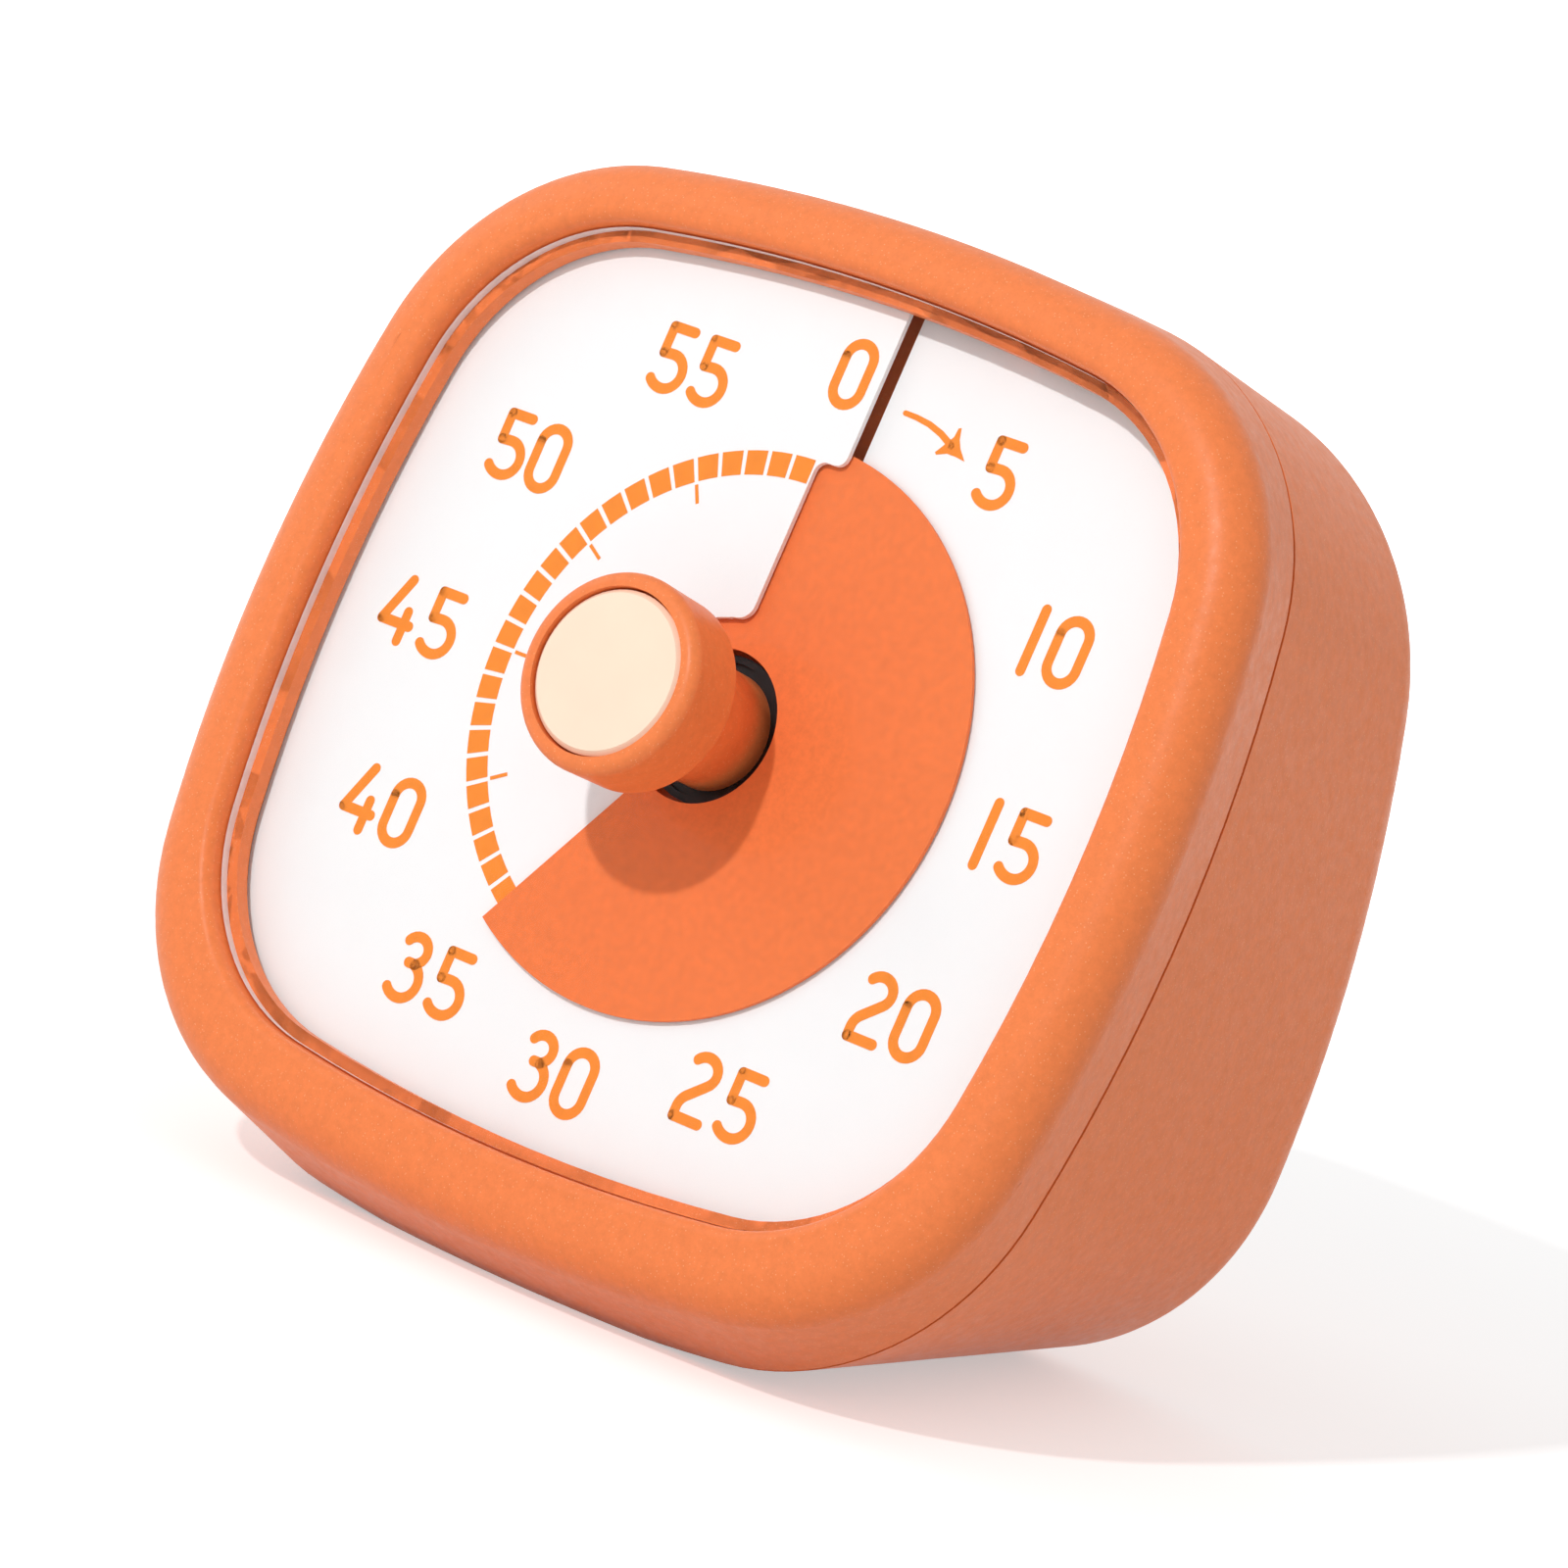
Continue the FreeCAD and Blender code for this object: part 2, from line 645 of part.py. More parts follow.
def back_shell():
    body = new_body("rear_shell")
    seam = sketch(body, "shell_seam", level=L("seam_level") - L("seam_gap"))
    rounded_square(seam, *SEAM, L("seam_drop"))
    wall = sketch(body, "shell_back", on_back_wall=True)
    rounded_square(wall, L("back_half_w"), L("back_half_h"), L("back_corner"),
                   -L("back_centre_up"))
    outside = loft(body, seam, wall, "shell_outside")
    doc.recompute()
    far_face = min(outside.Shape.Faces, key=lambda f: f.CenterOfMass.z)
    rim = [e.hashCode() for e in far_face.Edges]
    fillet(body, outside, L("back_round"), "shell_round", lambda e: e.hashCode() in rim)
    mouth = sketch(body, "shell_mouth", level=L("seam_level") - L("seam_gap"))
    rounded_square(mouth, *SEAM, L("seam_drop"), L("shell_wall"))
    inner = sketch(body, "shell_inner", level=L("shell_wall"), on_back_wall=True)
    rounded_square(inner, L("back_half_w"), L("back_half_h"), L("back_corner"),
                   -L("back_centre_up"), L("shell_wall"))
    loft(body, mouth, inner, "shell_hollow", hollow=True)
    rebate = sketch(body, "shell_rebate", level=L("seam_level") - L("seam_gap"))
    rounded_square(rebate, *SEAM, L("seam_drop"), L("spigot_inset"))
    pocket(body, rebate, L("spigot_depth"), "rebate")
    # Battery bay: a tub behind the door
    depth = L("door_thick") + L("battery_radius") * 2 + L("bay_clearance") * 2
    tub = sketch(body, "bay_tub", on_back_wall=True, level=L("shell_wall") / 2)
    rectangle(tub, L("bay_half_w") + L("bay_wall"),
              L("battery_radius") + L("bay_clearance") + L("bay_wall"), 0, L("bay_centre_up"))
    pad(body, tub, depth + L("bay_wall") - L("shell_wall") / 2, "bay_block")
    hollow = sketch(body, "bay_hollow", on_back_wall=True)
    rectangle(hollow, L("bay_half_w"), L("battery_radius") + L("bay_clearance"), 0,
              L("bay_centre_up"))
    pocket(body, hollow, depth, "bay_room", reverse=True)
    door = sketch(body, "door_recess", on_back_wall=True)
    round_rectangle(door, L("door_half_w") + L("door_gap"), L("door_half_h") + L("door_gap"),
                    L("door_corner") + L("door_gap"), L("bay_centre_up"))
    pocket(body, door, L("door_thick") + L("door_seat_gap"), "door_seat", reverse=True)
    # Posts for the sound board, sound holes and the slot of the volume switch
    posts = sketch(body, "board_posts", on_back_wall=True, level=L("shell_wall") / 2)
    for sx in (1, -1):
        circle(posts, L("board_post_radius"), L("board_post_x") * sx, L("sound_up"))
    pad(body, posts, L("sound_board_depth") - L("shell_wall") / 2, "posts")
    post_holes = sketch(body, "board_post_holes", on_back_wall=True, level=L("sound_board_depth"))
    for sx in (1, -1):
        circle(post_holes, L("screw_radius"), L("board_post_x") * sx, L("sound_up"))
    pocket(body, post_holes, L("screw_length"), "post_screw_holes")
    centre = sketch(body, "sound_centre", on_back_wall=True)
    circle(centre, L("sound_hole_radius"), L("buzzer_x"), L("sound_up"))
    for i in range(int(L("sound_holes").number)):
        angle = 2 * math.pi * i / L("sound_holes").number
        circle(centre, L("sound_hole_radius"),
               L("buzzer_x") + L("sound_hole_ring") * math.cos(angle),
               L("sound_up") + L("sound_hole_ring") * math.sin(angle))
    pocket(body, centre, L("shell_wall"), "sound_outlet", reverse=True)
    slot = sketch(body, "volume_slot", on_back_wall=True)
    rectangle(slot, L("slot_half_w"), L("slot_half_h"), L("switch_x"), L("sound_up"))
    pocket(body, slot, L("shell_wall"), "slot_outlet", reverse=True)
    # Wells for the long screws, from their seats to the back
    places = shell_screw_places()
    top = L("shell_screw_seat") + L("well_floor")
    for row in (0, 1):
        wells = sketch(body, "screw_wells_%d" % row, level=top)
        for x, y in places[row * 2:row * 2 + 2]:
            circle(wells, L("well_radius"), x, y)
        reach = top - back_level(places[row * 2][1]) - L("shell_wall") / 2
        pad(body, wells, reach, "wells_%d" % row, reverse=True)
    bores = sketch(body, "screw_bores", level=L("shell_screw_seat"))
    for x, y in places:
        circle(bores, L("well_bore"), x, y)
    pocket(body, bores, L("back_depth") * 1.5, "well_bores")
    shanks = sketch(body, "screw_holes", level=top)
    for x, y in places:
        circle(shanks, L("shell_screw_radius") + L("hole_clearance"), x, y)
    pocket(body, shanks, L("well_floor"), "well_holes")
    body.Tip = cut_base(body, "shell_base")
    return keep(body, "rear_shell", FACE)


def shell_screw_places():
    return [(L(row + "_screw_x") * sx, L(row + "_screw_y")) for row in ("top", "bottom")
            for sx in (1, -1)]


def back_level(y):
    """Where the outside of the back wall lies in the face frame at a height y."""
    return BACK_Z + (-BACK_Y + y) * SIN_LEAN / COS_LEAN


# Dial and colour disc

def sheet_of_pitch(name, inner, outer, start, turn, thick, level):
    """A thin sheet that climbs one pitch in a clockwise turn about the dial axis.

    It starts at an angle clockwise from the top of the dial and covers the turn. Its top
    is at the level where it starts.
    """
    rails = []
    for i, radius in enumerate((inner, outer)):
        rail = doc.addObject("Part::Helix", "%s_rail_%d" % (name, i))
        rail.LocalCoord = "Left-handed"
        rail.Radius = number_of(radius)
        rail.Pitch = L("pitch").number
        rail.Height = L("pitch").number * number_of(turn) / 360
        bind(rail, "Radius", radius)
        bind(rail, "Pitch", L("pitch"))
        bind(rail, "Height", L("pitch") * turn / 360)
        rails.append(rail)
    face = doc.addObject("Part::RuledSurface", name + "_face")
    face.Curve1 = (rails[0], ["Edge1"])
    face.Curve2 = (rails[1], ["Edge1"])
    solid = doc.addObject("Part::Extrusion", name + "_sheet")
    solid.Base = face
    solid.DirMode = "Custom"
    solid.Dir = FreeCAD.Vector(0, 0, -1)
    solid.LengthFwd = number_of(thick)
    solid.Solid = True
    bind(solid, "LengthFwd", thick)
    begin = FreeCAD.Rotation(FreeCAD.Vector(0, 0, 1), 90 - number_of(start))
    return seat(solid, 0, 0, level, begin)


def dial_level(angle):
    """Height of the dial's top at an angle clockwise from its top."""
    return L("pitch") * (angle / 360.0 - 0.5)


def region(name, draw, low=-6.0, high=6.0):
    """A prism in the face frame over a sketched outline."""
    body = new_body(name)
    sk = sketch(body, name + "_outline")
    draw(sk)
    body.Tip = pad(body, sk, high - low, name + "_prism", both=True)
    return body


def dial_plate():
    overlap = 12.0
    hole, rim = L("dial_hole"), L("window_half_w") + L("window_half_h") * 0.4
    main = sheet_of_pitch("dial_main", hole, rim, overlap, 360 - 2 * overlap, L("dial_thick"),
                          dial_level(overlap))
    low = sheet_of_pitch("dial_low", hole, rim, -0.5, overlap + 0.5, L("dial_thick"),
                         dial_level(-0.5))
    high = sheet_of_pitch("dial_high", hole, rim, 360 - overlap, 2 * overlap, L("dial_thick"),
                          dial_level(360 - overlap))
    step, radius, gap = L("slit_step"), L("slit_step_radius"), L("slit_gap")

    def right_of_slit(sk):
        profile(sk, [(gap, 0), (FAR, 0), (FAR, FAR), (step + gap, FAR),
                     (step + gap, radius + gap), (gap, radius + gap)])

    def left_of_slit(sk):
        profile(sk, [(0, 0), (0, radius), (step, radius), (step, FAR), (-FAR, FAR), (-FAR, 0)])

    # The left edge is rounded at its step and where it meets the hub hole
    left_region = region("high_region", left_of_slit)
    hub_edge = hole + L("slit_hub_trim")
    hub = sketch(left_region, "hub_outline")
    circle(hub, hub_edge)
    trimmed = pocket(left_region, hub, 12.0, "hub_cut", both=True)
    rounded = fillet(left_region, trimmed, L("slit_step_round"), "step_corners",
                     lambda e: e.BoundBox.ZLength > 1
                     and abs(e.Vertexes[0].Y - radius.number) < 0.01)
    left_region.Tip = fillet(left_region, rounded, L("slit_hub_round"), "hub_corner",
                             lambda e: e.BoundBox.ZLength > 1 and abs(e.Vertexes[0].X) < 0.01
                             and abs(e.Vertexes[0].Y - hub_edge.number) < 0.01)
    low_part = common("dial_low_part", low, region("low_region", right_of_slit))
    high_part = common("dial_high_part", high, left_region)
    sheet_parts = fuse("dial_sheet", [main, low_part, high_part])

    def outline(sk):
        margin = L("dial_margin")
        rounded_square(sk, *(v + margin for v in WINDOW))

    return keep(common("dial_plate", sheet_parts, region("dial_region", outline)),
                "dial_plate", FACE)


def colour_disc():
    turn = -L("disc_end_gap") + 360
    clearance = (L("pitch") - L("dial_thick") - L("disc_thick")) / 2
    start = L("set_angle").number - turn.number
    level = L("pitch") * (L("set_angle") / 360 - 0.5) - L("pitch") * turn / 360
    top = level + clearance + L("disc_thick")
    disc = sheet_of_pitch("disc", L("disc_hole"), L("disc_radius"), start, turn,
                          L("disc_thick"), top)
    return keep(wrap(disc, "colour_disc"), "colour_disc", FACE)


def wrap(solid, name):
    """Hold a placed solid in one object whose own placement is free."""
    margin = box(name + "_room", FAR, FAR, FAR, 0, 0, -FAR / 2)
    return common(name, solid, margin)


# Knob

def knob_body():
    body = new_body("knob_body")
    sk = sketch(body, "knob_section", role="XZ_Plane")
    bore = L("spindle_radius")
    floor = L("head_top") - L("inlay_depth")
    profile(sk, [(bore, L("stem_bottom")), (L("stem_radius"), L("stem_bottom")),
                 (L("stem_radius"), L("head_bottom")), (L("head_rear_radius"), L("head_bottom")),
                 (L("head_front_radius"), L("head_top") - L("head_round")),
                 (L("head_front_radius"), L("head_top")),
                 (L("inlay_radius") + L("inlay_gap"), L("head_top")),
                 (L("inlay_radius") + L("inlay_gap"), floor), (0, floor),
                 (0, L("spindle_grip")), (bore, L("spindle_grip"))])
    turned = revolve(body, sk, "knob_turned")
    front = fillet(body, turned, L("head_round") * 0.95, "knob_front_round",
                   lambda e: abs(e.BoundBox.ZMax - L("head_top").number) < 1e-3
                   and abs(e.BoundBox.ZMin - L("head_top").number) < 1e-3
                   and e.BoundBox.XMax > L("head_front_radius").number - 0.1)
    body.Tip = fillet(body, front, 0.5, "knob_rear_round",
                      lambda e: abs(e.BoundBox.ZMax - L("head_bottom").number) < 1e-3
                      and abs(e.BoundBox.ZMin - L("head_bottom").number) < 1e-3
                      and e.BoundBox.XMax > L("head_rear_radius").number - 0.1)
    return keep(body, "knob_body", FACE)


def turned_piece(label, points):
    body = new_body(label)
    sk = sketch(body, label + "_section", role="XZ_Plane")
    profile(sk, points)
    body.Tip = revolve(body, sk, label + "_turned")
    return keep(body, label, FACE)


def knob_inlay():
    floor = L("head_top") - L("inlay_depth")
    top = L("head_top") - L("inlay_recess")
    return turned_piece("knob_inlay", [
        (0, floor), (L("inlay_radius"), floor), (L("inlay_radius"), top - 0.3),
        (L("inlay_radius") - 0.3, top), (0, top)])


def disc_hub():
    return turned_piece("disc_hub", [
        (L("spindle_radius"), L("stem_bottom") - L("hub_thick")),
        (L("hub_radius"), L("stem_bottom") - L("hub_thick")),
        (L("hub_radius"), L("stem_bottom") + 0.35),
        (L("hub_radius") - 0.5, L("stem_bottom") + 0.35),
        (L("hub_radius") - 0.5, L("stem_bottom")),
        (L("spindle_radius"), L("stem_bottom"))])


CLUTCH_TOP = L("centre_wheel_level") - 0.15
COLLAR_RADIUS = L("spindle_radius") + 0.9


def spindle():
    radius = L("spindle_radius")
    washer_low = CLUTCH_TOP - 0.35
    return turned_piece("spindle", [
        (0, L("case_back") + 0.3), (radius, L("case_back") + 0.3), (radius, washer_low - 0.6),
        (COLLAR_RADIUS, washer_low - 0.6), (COLLAR_RADIUS, washer_low), (radius, washer_low),
        (radius, L("spindle_grip")), (0, L("spindle_grip"))])


def clutch_washer():
    low = CLUTCH_TOP - 0.3
    return turned_piece("clutch_washer", [
        (L("spindle_radius") + 0.05, low), (COLLAR_RADIUS + 0.3, low + 0.05),
        (COLLAR_RADIUS + 0.3, CLUTCH_TOP), (L("spindle_radius") + 0.05, CLUTCH_TOP - 0.05)])


def alarm_cam():
    low = L("board_level") + L("board_thick") + 0.2
    ring = cylinder("cam_disc", L("spindle_radius") + 1.9, 0.9, 0, 0, low)
    bore = cylinder("cam_bore", L("spindle_radius"), 1.5, 0, 0, low - 0.2)
    notch = box("cam_notch", 1.0, 1.4, 1.5, 0, L("spindle_radius") + 1.9, low - 0.2)
    return keep(cut("alarm_cam", ring, [bore, notch]), "alarm_cam", FACE)


# Inner frame behind the dial

def inner_frame():
    body = new_body("inner_frame")
    plate = sketch(body, "frame_outline", level=L("frame_top") - L("frame_thick"))
    margin = L("frame_margin")
    rounded_square(plate, *(v + margin for v in WINDOW))
    circle(plate, L("frame_hole"))
    pad(body, plate, L("frame_thick"), "frame_plate")
    ears = sketch(body, "frame_ears", level=L("frame_top") - L("frame_thick"))
    for sx in (1, -1):
        for sy in (1, -1):
            circle(ears, L("ear_radius"), L("boss_x") * sx, L("boss_y") * sy)
    pad(body, ears, L("frame_thick"), "ears")
    # Posts that carry the dial at its local height
    for i, angle in enumerate((40.0, 130.0, 230.0, 320.0)):
        post = sketch(body, "frame_post_%d" % i, level=L("frame_top"))
        away = math.radians(angle)
        circle(post, L("post_radius"), L("post_place") * math.sin(away),
               L("post_place") * math.cos(away))
        height = dial_level(angle) - L("dial_thick") - 0.03 - L("frame_top")
        pad(body, post, height, "dial_post_%d" % i)
    # Pillars that take the screws of the back shell
    pillars = sketch(body, "frame_pillars", level=L("frame_top") - L("frame_thick"))
    for x, y in shell_screw_places():
        circle(pillars, L("well_radius") - 0.3, x, y)
    length = L("frame_top") - L("frame_thick") - L("shell_screw_seat") - L("well_floor")
    pad(body, pillars, length, "pillars", reverse=True)
    threads = sketch(body, "frame_threads", level=L("shell_screw_seat") + L("well_floor"))
    for x, y in shell_screw_places():
        circle(threads, L("shell_screw_radius"), x, y)
    pocket(body, threads, length, "pillar_holes", reverse=True)
    threads = sketch(body, "movement_threads", level=L("frame_top") - L("frame_thick"))
    for x, y in movement_screw_places():
        circle(threads, L("screw_radius"), x, y)
    pocket(body, threads, L("frame_thick"), "movement_holes", reverse=True)
    holes = sketch(body, "frame_holes", level=L("frame_top"))
    for sx in (1, -1):
        for sy in (1, -1):
            circle(holes, L("screw_radius") + L("hole_clearance"), L("boss_x") * sx,
                   L("boss_y") * sy)
    body.Tip = pocket(body, holes, L("frame_thick"), "ear_holes")
    return keep(body, "inner_frame", FACE)


def screw_group(label, places, seat_level, length, radius, head_radius, head, placement):
    """Pan head screws that point along +z, with their heads below the seat level."""
    screws = []
    for i, (x, y) in enumerate(places):
        shank = cylinder("%s_shank_%d" % (label, i), radius, length, x, y, seat_level)
        cap = cylinder("%s_head_%d" % (label, i), head_radius, head, x, y,
                       minus(seat_level, head))
        slot = box("%s_slot_%d" % (label, i), head_radius * 1.3, 0.5, 0.5, x, y,
                   minus(seat_level, head) - 0.1)
        cross = box("%s_cross_%d" % (label, i), 0.5, head_radius * 1.3, 0.5, x, y,
                    minus(seat_level, head) - 0.1)
        whole = fuse("%s_blank_%d" % (label, i), [shank, cap])
        screws.append(cut("%s_%d" % (label, i), whole, [slot, cross]))
    group = doc.addObject("Part::Compound", label) if len(screws) > 1 else screws[0]
    if len(screws) > 1:
        group.Links = screws
    return keep(group, label, placement)


def frame_screws():
    places = [(L("boss_x") * sx, L("boss_y") * sy) for sx in (1, -1) for sy in (1, -1)]
    return screw_group("frame_screws", places, L("frame_top") - L("frame_thick"),
                       L("screw_length") - 0.6, L("screw_radius") - 0.02,
                       L("screw_head_radius"), L("screw_head"), FACE)


def movement_screw_places():
    return [((L("case_half_w") + L("movement_ear_radius") * 0.7) * sx, L("ear_y"))
            for sx in (1, -1)]


def movement_screws():
    seat_level = L("case_front") - L("ear_thick")
    return screw_group("movement_screws", movement_screw_places(), seat_level,
                       L("ear_thick") + L("frame_thick") - 0.2, L("screw_radius") - 0.02,
                       L("screw_head_radius"), L("screw_head"), FACE)


def shell_screws():
    return screw_group("shell_screws", shell_screw_places(), L("shell_screw_seat"),
                       L("shell_screw_length"), L("shell_screw_radius") - 0.02,
                       L("well_bore") - 0.2, L("shell_screw_head"), FACE)


# Movement: wheels and where they stand

def beside(place, direction, teeth, module):
    """The axis that meshes a pinion with a wheel of so many teeth, in a direction."""
    reach = L(module) * (L("pinion_teeth") + L(teeth)) / 2
    turn = math.radians(L(direction).number)
    return (plus(place[0], reach * math.cos(turn)), plus(place[1], reach * math.sin(turn)))


CENTRE = (0, 0)
THIRD = beside(CENTRE, "third_direction", "centre_teeth", "coarse_module")
SECONDS = beside(THIRD, "seconds_direction", "third_teeth", "fine_module")
STEP = beside(SECONDS, "step_direction", "seconds_teeth", "fine_module")
ROTOR = beside(STEP, "rotor_direction", "step_teeth", "fine_module")


def toothed(teeth, module, phase, thick):
    """A wheel with slim straight-flanked teeth, one of them centred on the phase angle."""
    pitch_radius = module * teeth / 2.0
    root, tip = pitch_radius - 1.1 * module, pitch_radius + 0.7 * module
    step = 2 * math.pi / teeth
    points = []
    for i in range(int(teeth)):
        middle = phase + i * step
        for radius, share in ((root, -0.22), (tip, -0.08), (tip, 0.08), (root, 0.22)):
            angle = middle + share * step
            points.append(FreeCAD.Vector(radius * math.cos(angle), radius * math.sin(angle), 0))
    outline = Part.makePolygon(points + [points[0]])
    return Part.Face(outline).extrude(FreeCAD.Vector(0, 0, thick))


def train_piece(label, place, wheel, pinion):
    """An arbor with a wheel and a pinion.

    Wheel and pinion are each (teeth, module, level, phase) or None.
    """
    offset = FreeCAD.Placement(
        FreeCAD.Vector(number_of(place[0]), number_of(place[1]), 0), FreeCAD.Rotation())
    low = L("case_back").number + L("case_wall").number - L("bearing_depth").number
    high = L("case_front").number - L("case_wall").number + L("bearing_depth").number
    solids = [Part.makeCylinder(L("arbor_radius").number, high - low,
                                FreeCAD.Vector(0, 0, low))]
    if wheel:
        teeth, module, level, phase = wheel
        disc = toothed(teeth, module, phase, L("wheel_thick").number)
        disc.translate(FreeCAD.Vector(0, 0, level))
        solids.append(disc)
    if pinion:
        teeth, module, level, phase = pinion
        thick = L("pinion_thick").number
        leaves = toothed(teeth, module, phase, thick)
        leaves.translate(FreeCAD.Vector(0, 0, level - (thick - L("wheel_thick").number) / 2))
        solids.append(leaves)
    if label == "rotor":
        magnet = Part.makeCylinder(L("magnet_radius").number, L("magnet_thick").number,
                                   FreeCAD.Vector(0, 0, L("magnet_level").number))
        solids.append(magnet)
    obj = doc.addObject("Part::Feature", label)
    obj.Shape = solids[0].multiFuse(solids[1:])
    return keep(obj, label, FACE.multiply(offset))


def gear_train():
    pinion = L("pinion_teeth").number
    fine, coarse = L("fine_module").number, L("coarse_module").number
    half = math.pi / pinion
    turns = {name: math.radians(L(name + "_direction").number)
             for name in ("third", "seconds", "step", "rotor")}
    # The centre wheel turns on the spindle and is driven by the third pinion
    centre = toothed(L("centre_teeth").number, coarse, turns["third"], L("wheel_thick").number)
    tube = Part.makeCylinder(L("spindle_radius").number + 0.8, 1.0)
    bore = Part.makeCylinder(L("spindle_radius").number + L("running_gap").number, 5.0,
                             FreeCAD.Vector(0, 0, -2))
    wheel = doc.addObject("Part::Feature", "centre_wheel")
    wheel.Shape = centre.fuse(tube).cut(bore)
    offset = FreeCAD.Placement(
        FreeCAD.Vector(0, 0, L("centre_wheel_level").number), FreeCAD.Rotation())
    keep(wheel, "centre_wheel", FACE.multiply(offset))
    train_piece("third_wheel", THIRD,
                (L("third_teeth").number, fine, L("third_wheel_level").number, turns["seconds"]),
                (pinion, coarse, L("centre_wheel_level").number, turns["third"] + math.pi + half))
    train_piece("seconds_wheel", SECONDS,
                (L("seconds_teeth").number, fine, L("seconds_wheel_level").number, turns["step"]),
                (pinion, fine, L("third_wheel_level").number, turns["seconds"] + math.pi + half))
    train_piece("step_wheel", STEP,
                (L("step_teeth").number, fine, L("step_wheel_level").number, turns["rotor"]),
                (pinion, fine, L("seconds_wheel_level").number, turns["step"] + math.pi + half))
    train_piece("rotor", ROTOR, None,
                (pinion, fine, L("step_wheel_level").number, turns["rotor"] + math.pi + half))


def movement_case(label, low, high, floor_low, spindle_hole):
    """One half of the movement case: a tray with bearings in its floor."""
    wall = L("case_wall")
    width, height = L("case_half_w"), L("case_half_h")
    body = new_body(label)
    outline = sketch(body, label + "_outline", level=low)
    rectangle(outline, width, height)
    block = pad(body, outline, high - low, label + "_block")
    fillet(body, block, L("case_round"), label + "_corners", lambda e: e.BoundBox.ZLength > 1)
    room = sketch(body, label + "_room", level=low if not floor_low else high)
    rectangle(room, width - wall, height - wall)
    pocket(body, room, high - low - wall, label + "_hollow", reverse=not floor_low)
    floor = low if floor_low else high - wall
    bearings = sketch(body, label + "_bearings", level=floor)
    for x, y in (THIRD, SECONDS, STEP, ROTOR):
        circle(bearings, L("bearing_radius"), x, y)
    if floor_low:
        pad(body, bearings, wall + 0.3, label + "_bosses")
    holes = sketch(body, label + "_holes", level=floor if not floor_low else floor + wall + 0.3)
    for x, y in (THIRD, SECONDS, STEP, ROTOR):
        circle(holes, L("arbor_radius") + L("running_gap"), x, y)
    depth = L("bearing_depth") + (0.35 if floor_low else 0.05)
    pocket(body, holes, depth, label + "_pivots", reverse=not floor_low)
    through = sketch(body, label + "_spindle", level=low)
    circle(through, spindle_hole)
    body.Tip = pocket(body, through, high - low, label + "_spindle_hole", reverse=True)
    if not floor_low:
        # Ears that screw to the inner frame
        ears = sketch(body, label + "_ears", level=high - L("ear_thick"))
        for x, y in movement_screw_places():
            circle(ears, L("movement_ear_radius"), x, y)
        pad(body, ears, L("ear_thick"), label + "_ear_plates")
        ear_holes = sketch(body, label + "_ear_holes", level=high)
        for x, y in movement_screw_places():
            circle(ear_holes, L("screw_radius") + L("hole_clearance"), x, y)
        body.Tip = pocket(body, ear_holes, L("ear_thick"), label + "_ear_bores")
    return keep(body, label, FACE)


